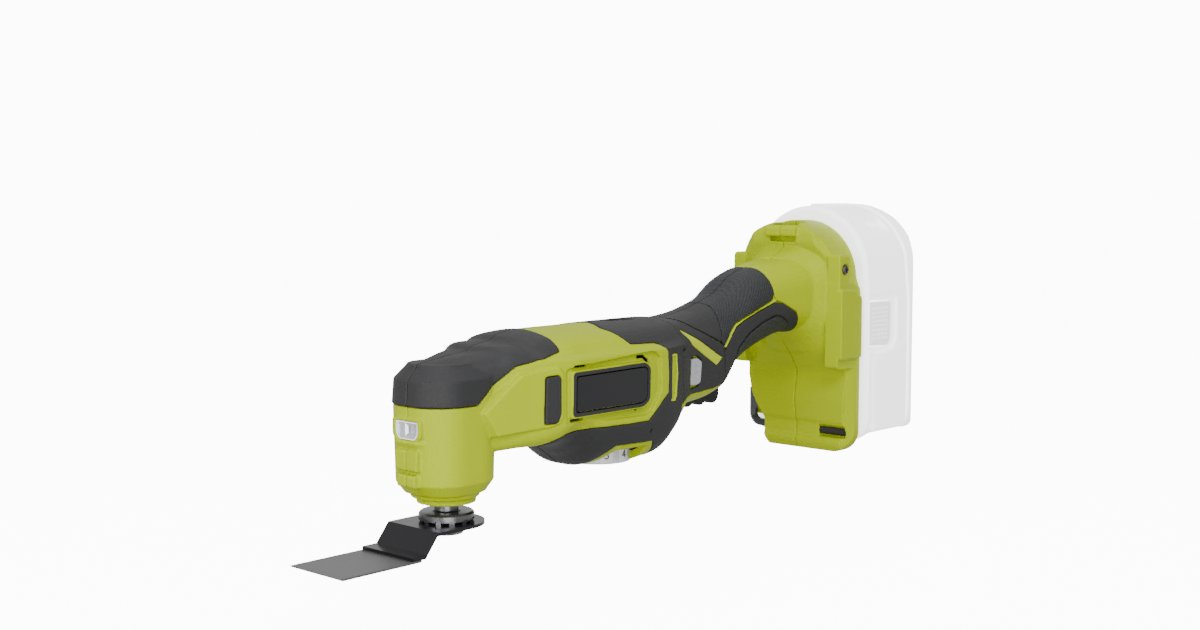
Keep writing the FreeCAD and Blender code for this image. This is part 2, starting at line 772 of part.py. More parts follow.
top_seat = cylinder("case_top_seat", D.upper_bearing_r, 6, 0, 0, 53)
motor_seat = cylinder("case_motor_seat", 6.5, 5, D.tunnel_end - 4.5, 0, D.motor_z, "X")
keep("gear_case", cut("case_body", case_blank, room, low_seat, low_way, top_seat, motor_seat))

keep("lower_spindle_bearing", bearing("low_bearing", D.spindle_r + D.run, D.lower_bearing_r,
                                      D.low_bearing_low, D.low_bearing_top))
keep("upper_spindle_bearing", bearing("top_bearing", D.upper_journal_r + D.run,
                                      D.upper_bearing_r, D.top_bearing_low, D.top_bearing_top))
keep("spindle_seal", ring("seal", D.spindle_r + 0.1, D.spindle_r + 1.2, D.seal_low, D.seal_top))
keep("bearing_clip", ring("clip", D.clip_in, D.lower_bearing_r, D.low_bearing_top,
                           D.low_bearing_top + D.clip_thick))

# ---------------------------------------------------------------- spindle and accessory
keep("spindle", turned("spindle_shaft", [
    (0, D.bore_depth), (D.screw_r + D.run, D.bore_depth), (D.screw_r + D.run, D.seat_step),
    (D.spindle_r, D.seat_step), (D.spindle_r, D.journal_top),
    (D.upper_journal_r, D.journal_top + 0.6), (D.upper_journal_r, D.spindle_top),
    (D.upper_journal_r - 0.6, D.spindle_top + 0.6), (0, D.spindle_top + 0.6)]))

seat_disc = turned("seat_disc", [
    (D.spindle_r, 0), (D.flange_r - 0.5, 0), (D.flange_r, 0.5), (D.flange_r, D.flange_top - 1.2),
    (D.flange_r - 1.2, D.flange_top), (D.spindle_r, D.flange_top)])
PINS = 8


def ring_of(name, make, count, radius):
    """Pieces made by make(name, x, y) on a circle round the spindle axis."""
    pieces = []
    for i in range(count):
        angle = 2 * math.pi * (i + 0.5) / count
        pieces.append(make("%s_%d" % (name, i), radius * math.cos(angle), radius * math.sin(angle)))
    return fuse(name, *pieces)


seat_pins = ring_of("seat_pins", lambda name, x, y: cylinder(name, D.pin_r, 2, x, y, -1), PINS,
                    D.pin_ring)
seat_notches = ring_of("seat_notches", lambda name, x, y: cylinder(name, 1.3, 1.5, x, y, 0), 6,
                       D.flange_r)
keep("tool_flange", cut("flange_body", fuse("flange_blank", seat_disc, seat_pins), seat_notches))

hub = ring("fork_hub", D.spindle_r, D.hub_r, D.fork_low - D.hub_extra, D.fork_top + D.hub_extra)
fork_arm = block("fork_arm", (7, D.fork_reach), (-D.fork_half, D.fork_half),
                 (D.fork_low, D.fork_top))
fork_slot = block("fork_slot", (17.5, 40), (-D.fork_gap, D.fork_gap), (30, 60))
fork_bore = cylinder("fork_bore", D.spindle_r, 20, 0, 0, 35)
keep("drive_fork", cut("fork_body", fuse("fork_blank", hub, fork_arm), fork_slot, fork_bore))

blade_under = -D.blade_thick
low_top = -D.blade_drop
low_under = low_top - D.blade_thick
blade_strip = side_pad("blade_strip", [
    (-D.blade_bend, 0), (D.blade_half + 4, 0), (D.blade_half + 4, blade_under),
    (-D.blade_bend - 0.6 * D.blade_thick, blade_under),
    (-D.blade_foot - 0.6 * D.blade_thick, low_under), (-D.blade_weld, low_under),
    (-D.blade_weld, low_top), (-D.blade_foot, low_top)], D.blade_half)
blade_round = fuse("blade_round", cylinder("blade_disc", D.blade_half, 40, 0, 0, -30),
                   block("blade_tongue", (-90, 0), (-D.blade_half, D.blade_half), (-30, 10)))
blade_holes = ring_of("blade_holes", lambda name, x, y: cylinder(name, D.pin_r + 0.25, 10, x, y, -5),
                      PINS, D.pin_ring)
blade_bore = cylinder("blade_bore", 4.2, 10, 0, 0, -5)
keep("blade_holder", cut("holder_body", common("holder_blank", blade_strip, blade_round),
                         blade_holes, blade_bore))
cutter_top = low_under
keep("cutting_plate", side_pad("cutter", [
    (-D.blade_foot - 3, cutter_top), (-D.blade_foot - 3, cutter_top - D.cutter_thick),
    (-D.blade_front + 1, cutter_top - D.cutter_thick), (-D.blade_front, cutter_top - 0.25),
    (-D.blade_front, cutter_top)], D.blade_half))

washer_low = blade_under - D.washer_thick
keep("clamp_washer", ring("washer", D.screw_r + 0.1, D.washer_r, washer_low, blade_under))
screw_solid = turned("screw_solid", [
    (0, 16), (D.screw_r - 0.6, 16), (D.screw_r, 15.4), (D.screw_r, washer_low),
    (D.head_r, washer_low), (D.head_r, washer_low - 0.9), (D.head_r - 1.4, -D.head_low + 0.3),
    (D.head_r - 3, -D.head_low), (0, -D.head_low)])
hex_socket = doc.addObject("Part::Prism", "hex_socket")
hex_socket.Polygon = 6
bind(hex_socket, Circumradius=2.8, Height=3)
put(hex_socket, 0, 0, -D.head_low - 0.2)
keep("clamp_screw", cut("clamp_screw_body", screw_solid, hex_socket))

# ---------------------------------------------------------------- motor and eccentric drive
axis = {"z": D.motor_z, "along": "X"}
keep("rotor_shaft", turned("shaft", [
    (0, D.shaft_front), (D.shaft_r, D.shaft_front), (D.shaft_r, D.shaft_end - 0.5),
    (D.shaft_r - 0.5, D.shaft_end), (0, D.shaft_end)], **axis))
cam_r = D.ecc_journal_r + D.cam_wall
cam_blank = cylinder("cam_blank", cam_r, D.cam_end - D.cam_front, D.cam_front, 0,
                     D.motor_z + D.throw, "X")
shaft_bore = cylinder("cam_bore", D.shaft_r, 30, 20, 0, D.motor_z, "X")
weight_disc = cylinder("weight_disc", D.weight_r, 4, 35, 0, D.motor_z, "X")
weight_trim = block("weight_trim", (34, 41), (-12, 12), (D.motor_z + 3.4, D.motor_z + 12))
cam_collar = cylinder("cam_collar", 4.2, 2.5, D.cam_end, 0, D.motor_z, "X")
keep("eccentric_hub", cut("cam_body", fuse("cam_set", cam_blank, cam_collar, weight_disc),
                          shaft_bore, weight_trim))
keep("eccentric_bearing", bearing("cam_bearing", cam_r, D.ecc_bearing_r, D.cam_bearing_front,
                                  D.cam_bearing_end, z=D.motor_z + D.throw, along="X"))
keep("front_motor_bearing", bearing("front_bearing", D.shaft_r + D.run, D.small_bearing_r,
                                    D.front_bearing_front, D.front_bearing_end, **axis))

fan_disc = ring("fan_disc", D.shaft_r, D.fan_r, D.fan_back, D.fan_end, **axis)
fan_hub = ring("fan_hub", D.shaft_r, D.fan_hub_r, D.fan_front, D.fan_back, **axis)
fan_blades = []
BLADES = 11
for i in range(BLADES):
    vane = doc.addObject("Part::Box", "fan_blade_%d" % i)
    bind(vane, Length=5.4, Width=1, Height=D.fan_r - 6.5)
    turn = Rotation(Vector(1, 0, 0), 360.0 * i / BLADES)
    offset = turn.multVec(Vector(0, -0.5, 6))
    put(vane, D.fan_front + 0.1, offset.y, D.motor_z + offset.z, turn)
    fan_blades.append(vane)
keep("cooling_fan", fuse("fan_body", fan_disc, fan_hub, *fan_blades))

core_disc = ring("core_disc", D.shaft_r, D.core_r, D.core_front, D.core_end, **axis)
core_slots = []
SLOTS = 8
for i in range(SLOTS):
    turn = Rotation(Vector(1, 0, 0), 360.0 * i / SLOTS)
    groove = doc.addObject("Part::Box", "core_slot_%d" % i)
    bind(groove, Length=D.core_end - D.core_front + 2, Width=1.8, Height=8)
    offset = turn.multVec(Vector(0, -0.9, 8.6))
    put(groove, D.core_front - 1, offset.y, D.motor_z + offset.z, turn)
    core_slots.append(groove)
keep("armature_core", cut("core_body", core_disc, *core_slots))
front_coil = turned("front_coil", [
    (D.shaft_r, D.coil_front), (D.coil_r - 2, D.coil_front), (D.coil_r, D.coil_front + 1.6),
    (D.coil_r, D.core_front), (D.shaft_r, D.core_front)], **axis)
rear_coil = turned("rear_coil", [
    (D.shaft_r, D.core_end), (D.coil_r, D.core_end), (D.coil_r, D.coil_end - 1.6),
    (D.coil_r - 2, D.coil_end), (D.shaft_r, D.coil_end)], **axis)
keep("armature_windings", several("windings", front_coil, rear_coil))
drum = ring("drum", D.shaft_r, D.commutator_r, D.drum_front, D.drum_end, **axis)
SEGMENTS = 12
segment_gaps = []
for i in range(SEGMENTS):
    turn = Rotation(Vector(1, 0, 0), 360.0 * i / SEGMENTS)
    gap = doc.addObject("Part::Box", "segment_gap_%d" % i)
    bind(gap, Length=9, Width=0.4, Height=1.2)
    offset = turn.multVec(Vector(0, -0.2, (D.commutator_r - 0.8).value))
    put(gap, D.drum_front - 0.4, offset.y, D.motor_z + offset.z, turn)
    segment_gaps.append(gap)
keep("commutator", cut("drum_body", drum, *segment_gaps))

can_room = D.can_r - D.can_wall
keep("motor_can", turned("can", [
    (6.6, D.can_front), (D.can_r, D.can_front), (D.can_r, D.can_end), (can_room, D.can_end),
    (can_room, D.can_front + 1.4), (6.6, D.can_front + 1.4)], **axis))
magnet_ring = ring("magnet_ring", D.magnet_in, can_room, D.magnet_front, D.magnet_end, **axis)
magnet_gap = block("magnet_gap", (60, 96), (-FAR, FAR), (D.motor_z - 3.5, D.motor_z + 3.5))
keep("motor_magnets", cut("magnets", magnet_ring, magnet_gap))
bell = turned("bell", [
    (8.6, D.drum_front), (can_room, D.drum_front), (can_room, D.can_end), (7.5, D.can_end),
    (7.5, 116), (6.5, 116), (6.5, 111), (3.6, 111), (3.6, 106), (8.6, 106)], **axis)
brush_way = block("brush_way", (D.brush_front - 0.2, D.brush_end + 0.2),
                  (-D.brush_half - 0.2, D.brush_half + 0.2), (0, 100))
keep("brush_holder", cut("bell_body", bell, brush_way))
brush_in = D.commutator_r + 0.06
brush_out = can_room - 0.6
brush_x, brush_y = (D.brush_front, D.brush_end), (-D.brush_half, D.brush_half)
keep("carbon_brushes", several(
    "brushes",
    block("brush_top", brush_x, brush_y, (D.motor_z + brush_in, D.motor_z + brush_out)),
    block("brush_low", brush_x, brush_y, (D.motor_z - brush_out, D.motor_z - brush_in))))
keep("rear_motor_bearing", bearing("rear_bearing", D.shaft_r + D.run, D.small_bearing_r,
                                   D.rear_bearing_front, D.rear_bearing_end, **axis))

# ---------------------------------------------------------------- speed dial, trigger, lock
dial_disc = turned("dial_disc", [
    (0, D.dial_low), (D.dial_r - 0.5, D.dial_low), (D.dial_r, D.dial_low + 0.5),
    (D.dial_r, D.dial_top - 0.5), (D.dial_r - 0.5, D.dial_top), (0, D.dial_top)], x=D.dial_x)
ribs = []
RIBS = 36
for i in range(RIBS):
    if i % 3 == 0:
        continue
    angle = math.radians(360.0 * i / RIBS)
    notch = cylinder("dial_notch_%d" % i, 0.45, 8.2, D.dial_x + (D.dial_r + 0.15) * math.cos(angle),
                     (D.dial_r + 0.15) * math.sin(angle), D.dial_low - 0.6)
    ribs.append(notch)
keep("speed_dial", cut("dial_body", dial_disc, *ribs))
keep("dial_potentiometer", fuse(
    "dial_pot", block("pot_box", (D.dial_x - 6, D.dial_x + 6), (-6, 6), (22, 25.6)),
    cylinder("pot_boss", 3, 1.4, D.dial_x, 0, D.dial_top + 0.1)))

bumps = []
BUMPS = 3
bump_in = 4                     # the first and last bump's centre lies this far from the ends
bump_pitch = (D.trigger_rear - D.trigger_front - 2 * bump_in) / (BUMPS - 1)
for i in range(BUMPS):
    bumps.append(cylinder("trigger_bump_%d" % i, D.bump_r, 2 * D.trigger_half,
                          D.trigger_front + bump_in + bump_pitch * i, -D.trigger_half,
                          D.trigger_low + D.bump_r, "Y"))
trigger_box = block("trigger_box", (D.trigger_front, D.trigger_rear),
                    (-D.trigger_half, D.trigger_half), (D.trigger_low + 2, D.trigger_top))
spring_x = (D.trigger_front + D.trigger_rear) / 2
well_deep = 2
spring_well = cylinder("spring_well", D.spring_r + 0.8, 2 * well_deep, spring_x, 0,
                       D.trigger_top - well_deep)
bump_space = block("bump_space", (D.trigger_front, D.trigger_rear),
                   (-D.trigger_half, D.trigger_half), (0, D.trigger_top))
trigger_form = common("trigger_form", fuse("trigger_blank", trigger_box, *bumps), bump_space)
keep("trigger", cut("trigger_body", trigger_form, spring_well))
coil = doc.addObject("Part::Helix", "coil_path")
spring_low = D.trigger_top - well_deep + D.spring_wire
spring_high = D.switch_low - D.spring_wire
bind(coil, Pitch=(spring_high - spring_low) / 5, Height=spring_high - spring_low, Radius=D.spring_r)
put(coil, spring_x, 0, spring_low)
wire = doc.addObject("Part::Circle", "coil_wire")
bind(wire, Radius=D.spring_wire)
put(wire, spring_x + D.spring_r, 0, spring_low, Rotation(Vector(1, 0, 0), 90))
coil_sweep = doc.addObject("Part::Sweep", "coil_sweep")
coil_sweep.Sections = [wire]
coil_sweep.Spine = (coil, ["Edge1"])
coil_sweep.Solid = True
coil_sweep.Frenet = True
keep("trigger_spring", coil_sweep)
keep("switch_module", fuse(
    "switch_box", block("switch_case", (148, 172), (-D.switch_half, D.switch_half),
                        (D.switch_low, D.switch_top)),
    block("switch_tabs", (172, 176), (-5, 5), (56, 64))))

lock_low, lock_top = D.lock_low, D.lock_top
lock_bar = block("lock_bar", (D.lock_front, D.lock_rear), (-D.lock_left, D.lock_right),
                 (lock_low, lock_top))
lock_waist = block("lock_waist", (D.lock_front - 1, D.lock_rear + 1),
                   (-D.lock_waist, D.lock_waist), (lock_low + 9, lock_top + 1))
keep("lock_button", cut("lock_body", lock_bar, lock_waist))

# ---------------------------------------------------------------- lamp, boards and terminals
lens_face = [(-22.9, D.lens_top), (-19.2, D.lens_top), (-19.2, D.lens_low), (-21.6, D.lens_low),
             (-22.9, D.lens_low + 2.4)]
keep("lamp_lens", side_pad("lens_body", lens_face, D.lens_half - 0.02))
keep("lamp_board", fuse("lamp_card", block("lamp_sheet", (-17.9, -16.6), (-6.5, 6.5), (34, 45.5)),
                        cylinder("lamp_diode", 1.8, 1.3, -19.1, 0, 40.4, "X")))
keep("control_board", fuse(
    "control_card", block("control_sheet", (119.5, 135), (-14, 14), (D.board_low, D.board_top)),
    block("control_sink", (122, 130), (-12, -4), (D.board_top, 45)),
    block("control_chip", (122, 131), (1, 10), (D.board_top, 40)),
    cylinder("control_can", 3, 7, 132, -9, D.board_top)))
key_rear = D.terminal_end + 4
keep("terminal_block", fuse(
    "terminal_body", block("terminal_box", (D.terminal_front, D.terminal_end),
                           (-D.terminal_half, D.terminal_half), (D.terminal_low, D.terminal_top)),
    block("terminal_key", (D.terminal_end, key_rear), (-9, 9), (78, 86))))
contact_z = (D.contact_low, D.contact_top)
contact_spots = [D.contact_pitch * place for place in (-1, 0, 1)]
contacts = []
for i, y in enumerate(contact_spots):
    contacts.append(block("terminal_blade_%d" % i, (key_rear, key_rear + 12), (y - 0.4, y + 0.4),
                          contact_z))
keep("terminal_blades", several("terminal_blade_set", *contacts))

# ---------------------------------------------------------------- battery pack
seat_x = D.seam_x + D.seam_gap
wall = D.pack_wall
pack_back = upright("pack_back", "pack", seat_x, D.pack_rear)
stem = tube_pad("stem", D.stem_half, D.stem_low, D.stem_top, D.stem_round, D.stem_front, seat_x + 4)
stem_room = tube_pad("stem_room", D.stem_half - wall, D.stem_low + wall, D.stem_top - wall, 2.5,
                     D.stem_front + 11.5, seat_x + 6)
pack_room = upright("pack_room", "pack", seat_x + wall, D.pack_rear - wall, wall)
clips = several("contact_group", *[block("clip_%d" % i, (222.4, 225.5), (y - 1.6, y + 1.6),
                                         contact_z) for i, y in enumerate(contact_spots)])
keep("battery_contacts", clips)
stem_mouth = block("stem_mouth", (D.stem_front - 1, D.stem_front + 9.5), (-9.5, 9.5), (78, 86))
latch_ports = block("latch_ports", (D.latch_front - D.fit, D.latch_rear + D.fit), (-FAR, FAR),
                    (D.latch_low - D.fit, D.latch_top + D.fit))
rim = block("pack_rim", (D.pack_rear - 4, D.pack_rear + 1), (-FAR, FAR), (LOW, HIGH))
rim_core = upright("pack_rim_core", "pack", D.pack_rear - 5, D.pack_rear + 2, 2.4)
rim_step = cut("pack_rim_step", rim, rim_core)
pack_walls = cut("pack_walls", fuse("pack_blank", pack_back, stem), pack_room, stem_room, stem_mouth,
                 latch_ports, rim_step, clips)
pack_front = block("pack_front", (0, D.pack_split), (-FAR, FAR), (LOW, HIGH))
keep("battery_front_case", common("battery_front", pack_walls, pack_front))
keep("battery_rear_case", cut("battery_rear", pack_walls, pack_front))

CELL_ROWS = (19.2, 37.6, 56, 74.4, 92.8)
CELL_COLUMNS = (275.4, 300)
cells = []
for column, x in enumerate(CELL_COLUMNS):
    for row, z in enumerate(CELL_ROWS):
        start = -D.cell_long / 2
        can = cylinder("cell_%d_%d" % (column, row), D.cell_r, D.cell_long, x, start, z, "Y")
        cells.append(can)
keep("battery_cells", several("cell_group", *cells))

latch_face = 38.0
latch_thick = 2.6
grip_step = 1.0
for side, sign in (("left", -1), ("right", 1)):
    outer_y = sorted((sign * latch_face, sign * (latch_face - latch_thick)))
    latch = block("latch_%s_slab" % side, (D.latch_front, D.latch_rear), outer_y,
                  (D.latch_low, D.latch_top))
    grooves = []
    for i in range(7):
        z = D.latch_low + 3 + 3 * i
        shallow = sorted((sign * (latch_face + 1), sign * (latch_face - 0.6)))
        groove = block("latch_%s_groove_%d" % (side, i), (D.latch_front + 2, D.latch_rear - 2),
                       shallow, (z, z + grip_step))
        grooves.append(groove)
    keep("battery_latch_%s" % side, cut("latch_%s_body" % side, latch, *grooves))

# ---------------------------------------------------------------- check and write
doc.recompute()
troubled = [obj.Name for obj in doc.Objects if {"Invalid", "Error"} & set(obj.State)]
if troubled:
    raise RuntimeError("objects that did not build: " + ", ".join(troubled))
os.makedirs("parts", exist_ok=True)
for node, obj in parts.items():
    shape = obj.Shape
    if shape.isNull() or not shape.isValid() or not shape.Solids:
        raise RuntimeError("no valid solid in " + node)
for node, obj in parts.items():
    obj.Shape.exportStep("parts/" + node + ".step")
    print("%-26s %2d solid %9.1f mm3" % (node, len(obj.Shape.Solids), obj.Shape.Volume))
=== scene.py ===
"""Looks of the oscillating multi tool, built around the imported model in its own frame."""
import math

import bmesh
import bpy
import numpy as np
from mathutils import Matrix, Vector


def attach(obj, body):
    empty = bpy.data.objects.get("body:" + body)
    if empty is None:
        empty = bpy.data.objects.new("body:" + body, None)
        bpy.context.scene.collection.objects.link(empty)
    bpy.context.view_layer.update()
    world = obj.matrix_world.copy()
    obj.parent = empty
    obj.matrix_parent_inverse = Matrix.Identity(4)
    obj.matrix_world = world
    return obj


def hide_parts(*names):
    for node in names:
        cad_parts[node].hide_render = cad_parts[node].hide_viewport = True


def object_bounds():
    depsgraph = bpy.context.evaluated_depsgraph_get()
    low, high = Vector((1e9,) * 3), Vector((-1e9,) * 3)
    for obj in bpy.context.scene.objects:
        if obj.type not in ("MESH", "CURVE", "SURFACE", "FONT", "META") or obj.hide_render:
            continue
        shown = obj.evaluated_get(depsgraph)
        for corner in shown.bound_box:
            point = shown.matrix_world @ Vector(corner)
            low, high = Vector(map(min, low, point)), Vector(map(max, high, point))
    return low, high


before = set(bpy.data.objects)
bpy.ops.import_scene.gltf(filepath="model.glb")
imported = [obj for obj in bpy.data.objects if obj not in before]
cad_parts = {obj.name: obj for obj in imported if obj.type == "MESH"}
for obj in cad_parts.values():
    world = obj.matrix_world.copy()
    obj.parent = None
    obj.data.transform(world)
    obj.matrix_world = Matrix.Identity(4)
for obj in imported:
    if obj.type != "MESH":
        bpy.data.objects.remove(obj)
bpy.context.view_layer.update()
MM = 0.001
WIDE = 70.0                     # past every side of the tool, in mm


# ------------------------------------------------------------------ materials
def node(tree, kind, **inputs):
    """A shader node with some of its inputs set."""
    made = tree.nodes.new(kind)
    for key, value in inputs.items():
        made.inputs[key.replace("_", " ")].default_value = value
    return made


def finish_of(name, colour, rough=0.4, spread=0.06, grain=1800.0, depth=0.05, metal=0.0,
              tint=0.06, edge=0.0, stretch=(1, 1, 1), cell=None, **shader):
    """A moulded, cast or turned surface: uneven colour and gloss, fine grain, and sharp edges drawn
    paler for rubbed wear and a painted highlight.
    """
    made = bpy.data.materials.new(name)
    made.use_nodes = True
    tree = made.node_tree
    tree.nodes.clear()
    link = tree.links.new
    out = tree.nodes.new("ShaderNodeOutputMaterial")
    surface = tree.nodes.new("ShaderNodeBsdfPrincipled")
    surface.inputs["Metallic"].default_value = metal
    for key, value in shader.items():
        surface.inputs[key.replace("_", " ")].default_value = value
    link(surface.outputs[0], out.inputs[0])
    where = tree.nodes.new("ShaderNodeTexCoord")
    turn = tree.nodes.new("ShaderNodeMapping")
    turn.inputs["Scale"].default_value = stretch
    link(where.outputs["Object"], turn.inputs["Vector"])

    cloud = node(tree, "ShaderNodeTexNoise", Scale=38.0, Detail=4.0, Roughness=0.6)
    link(turn.outputs[0], cloud.inputs["Vector"])
    shade = tree.nodes.new("ShaderNodeMix")
    shade.data_type = "RGBA"
    shade.inputs["A"].default_value = colour[:3] + (1.0,)
    shade.inputs["B"].default_value = tuple(c * (1 - tint) for c in colour[:3]) + (1.0,)
    link(cloud.outputs["Fac"], shade.inputs["Factor"])
    last_colour = shade.outputs["Result"]
    # Sharp outer edges, found by pointiness, are drawn paler: rubbed wear, and a painted highlight
    # where edges catch the light.
    if edge:
        rim = tree.nodes.new("ShaderNodeNewGeometry")
        ramp = tree.nodes.new("ShaderNodeValToRGB")
        ramp.color_ramp.elements[0].position = 0.53
        ramp.color_ramp.elements[1].position = 0.62
        link(rim.outputs["Pointiness"], ramp.inputs["Fac"])
        wear_and_highlight_mix = tree.nodes.new("ShaderNodeMix")
        wear_and_highlight_mix.data_type = "RGBA"
        pale = tuple(min(1.0, c * (1 + 4 * edge) + edge * 0.02) for c in colour[:3]) + (1.0,)
        wear_and_highlight_mix.inputs["B"].default_value = pale
        link(ramp.outputs["Color"], wear_and_highlight_mix.inputs["Factor"])
        link(last_colour, wear_and_highlight_mix.inputs["A"])
        last_colour = wear_and_highlight_mix.outputs["Result"]
    link(last_colour, surface.inputs["Base Color"])

    smear = node(tree, "ShaderNodeTexNoise", Scale=160.0, Detail=3.0)
    link(turn.outputs[0], smear.inputs["Vector"])
    gloss = tree.nodes.new("ShaderNodeMapRange")
    gloss.inputs["To Min"].default_value = max(0.02, rough - spread)
    gloss.inputs["To Max"].default_value = rough + spread
    link(smear.outputs["Fac"], gloss.inputs["Value"])
    link(gloss.outputs["Result"], surface.inputs["Roughness"])

    fine = node(tree, "ShaderNodeTexNoise", Scale=grain, Detail=2.0)
    link(turn.outputs[0], fine.inputs["Vector"])
    relief = node(tree, "ShaderNodeBump", Strength=min(1.0, depth * 6), Distance=depth * MM)
    link(fine.outputs["Fac"], relief.inputs["Height"])
    last_normal = relief.outputs[0]
    if cell:
        pitch, lean, tall = cell
        waves = []
        for way in (lean, -lean):
            tilt = tree.nodes.new("ShaderNodeMapping")
            tilt.inputs["Rotation"].default_value = (0, way, 0)
            link(where.outputs["Object"], tilt.inputs["Vector"])
            wave = node(tree, "ShaderNodeTexWave", Scale=1 / (pitch * MM * 2 * math.pi))
            wave.bands_direction = "X"
            link(tilt.outputs[0], wave.inputs["Vector"])
            waves.append(wave.outputs["Fac"])
        both = tree.nodes.new("ShaderNodeMath")
        both.operation = "MINIMUM"
        link(waves[0], both.inputs[0])
        link(waves[1], both.inputs[1])
        knurl = node(tree, "ShaderNodeBump", Strength=1.0, Distance=tall * MM)
        link(both.outputs[0], knurl.inputs["Height"])
        link(last_normal, knurl.inputs["Normal"])
        last_normal = knurl.outputs[0]
    link(last_normal, surface.inputs["Normal"])
    return made


# The edge setting draws sharp edges paler: rubbed wear, and a painted highlight where the edges catch
# the light.
FINISHES = {
    "lime_plastic": dict(colour=(0.27, 0.335, 0.0), rough=0.42, spread=0.05, grain=2200, depth=0.03,
        edge=0.03, tint=0.05, Specular_IOR_Level=0.08),
    "soft_grey": dict(colour=(0.021, 0.021, 0.022), rough=0.55, spread=0.07, grain=2600, depth=0.09,
        edge=0.02, Specular_IOR_Level=0.14),
    "knurl_grey": dict(colour=(0.019, 0.020, 0.022), rough=0.5, spread=0.07, grain=2600, depth=0.06,
        cell=(0.6, 0.7, 0.28), Specular_IOR_Level=0.16),
    "weave_grey": dict(colour=(0.019, 0.020, 0.022), rough=0.5, spread=0.07, grain=2600, depth=0.06,
        cell=(0.85, 0.25, 0.45), Specular_IOR_Level=0.2),
    "plate_black": dict(colour=(0.005, 0.005, 0.006), rough=0.22, spread=0.05, grain=900, depth=0.01,
        tint=0.2, Specular_IOR_Level=0.35),
    "black_plastic": dict(colour=(0.008, 0.008, 0.009), rough=0.45, spread=0.08, grain=1900, edge=0.02,
        Specular_IOR_Level=0.2),
    "dial_silver": dict(colour=(0.60, 0.60, 0.63), rough=0.34, grain=1500, depth=0.02,
        Specular_IOR_Level=0.4),
    "slide_grey": dict(colour=(0.27, 0.27, 0.28), grain=1500, depth=0.04, Specular_IOR_Level=0.3),
    "screw_steel": dict(colour=(0.10, 0.10, 0.105), rough=0.3, spread=0.08, grain=900, depth=0.02,
        metal=1.0),
    "bright_steel": dict(colour=(0.13, 0.13, 0.135), rough=0.28, spread=0.08, grain=700, depth=0.02,
        metal=1.0, stretch=(1, 1, 9)),
    "bearing_steel": dict(colour=(0.60, 0.61, 0.63), rough=0.16, spread=0.05, grain=900, depth=0.01,
        metal=1.0),
    "case_alloy": dict(colour=(0.43, 0.44, 0.46), rough=0.5, spread=0.1, grain=700, depth=0.12,
        metal=1.0),
    "blade_black": dict(colour=(0.005, 0.005, 0.006), rough=0.22, spread=0.05, grain=1200, depth=0.01,
        tint=0.2, Coat_Weight=0.1, Coat_Roughness=0.12, Specular_IOR_Level=0.22),
    "blade_satin": dict(colour=(0.13, 0.13, 0.135), rough=0.42, grain=260, depth=0.02, metal=0.85,
        stretch=(1, 14, 1)),
    "key_black": dict(colour=(0.012, 0.012, 0.013), rough=0.3, spread=0.08, grain=1100, depth=0.03,
        Specular_IOR_Level=0.4),
    "clear_lens": dict(colour=(0.92, 0.94, 0.96), rough=0.06, spread=0.02, grain=500, depth=0.01,
        Transmission_Weight=0.85, IOR=1.49),
    "board_green": dict(colour=(0.013, 0.117, 0.042), grain=900, depth=0.03, tint=0.3),
    "copper": dict(colour=(0.55, 0.19, 0.061), rough=0.3, spread=0.08, grain=1400, depth=0.1,
        metal=1.0),
    "magnet_dark": dict(colour=(0.089, 0.089, 0.095), rough=0.6, spread=0.1, grain=900, depth=0.1,
        metal=0.5),
    "carbon": dict(colour=(0.032, 0.032, 0.032), rough=0.7, spread=0.1, grain=1500, depth=0.1),
    # The pack's shell and latch pads glow with emission: painted light, which makes the pale pack
    # brighter than the lamps alone light it.
    "pack_shell": dict(colour=(0.88, 0.88, 0.89), rough=0.42, spread=0.05, grain=2000, depth=0.03,
        tint=0.02, Emission_Color=(1, 1, 1, 1), Emission_Strength=1.3),
    "pack_grip": dict(colour=(0.76, 0.75, 0.78), rough=0.5, grain=2000, depth=0.06, tint=0.04,
        Emission_Color=(1, 0.98, 1, 1), Emission_Strength=0.7),
    "cell_wrap": dict(colour=(0.156, 0.305, 0.515), rough=0.3, spread=0.08, grain=800, depth=0.02),
    "seal_rubber": dict(colour=(0.013, 0.013, 0.013), rough=0.7, spread=0.08, grain=1600, depth=0.08),
    "lime_bright": dict(colour=(0.33, 0.40, 0.005), rough=0.36, spread=0.05, grain=2200, depth=0.02,
        tint=0.04, Specular_IOR_Level=0.15),
    "ink": dict(colour=(0.016, 0.016, 0.018), rough=0.5, spread=0.05, grain=900, depth=0.01, tint=0.2),
    "bezel_white": dict(colour=(0.85, 0.86, 0.88), rough=0.3, spread=0.05, grain=1500, depth=0.02),
    "reflector": dict(colour=(0.80, 0.81, 0.84), rough=0.14, spread=0.04, grain=600, depth=0.01,
        metal=1.0),
}
LOOKS = {name: finish_of(name, **settings) for name, settings in FINISHES.items()}


def dress(piece, look):
    piece.data.materials.clear()
    piece.data.materials.append(LOOKS[look])
    return piece


for name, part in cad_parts.items():
    for place, held in enumerate(part.data.materials):
        slot_name = held.name.split(".")[0]
        if slot_name in LOOKS:
            part.data.materials[place] = LOOKS[slot_name]
        else:
            print("no look for", name, held.name)
dress(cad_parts["cutting_plate"], "blade_satin")


# ------------------------------------------------------------------ mesh tools, all in mm
def solid(name, points, faces):
    """A mesh object from points in mm, with its faces turned outwards."""
    mesh = bpy.data.meshes.new(name)
    mesh.from_pydata([tuple(c * MM for c in p) for p in points], [], faces)
    work = bmesh.new()
    work.from_mesh(mesh)
    bmesh.ops.recalc_face_normals(work, faces=work.faces)
    work.to_mesh(mesh)
    work.free()
    made = bpy.data.objects.new(name, mesh)
    bpy.context.scene.collection.objects.link(made)
    return made


def drop(*pieces):
    for piece in pieces:
        bpy.data.objects.remove(piece, do_unlink=True)


def settle(piece):
    """Apply every modifier of the piece."""
    bpy.context.view_layer.update()
    depsgraph = bpy.context.evaluated_depsgraph_get()
    mesh = bpy.data.meshes.new_from_object(piece.evaluated_get(depsgraph))
    piece.modifiers.clear()
    piece.data = mesh
    return piece


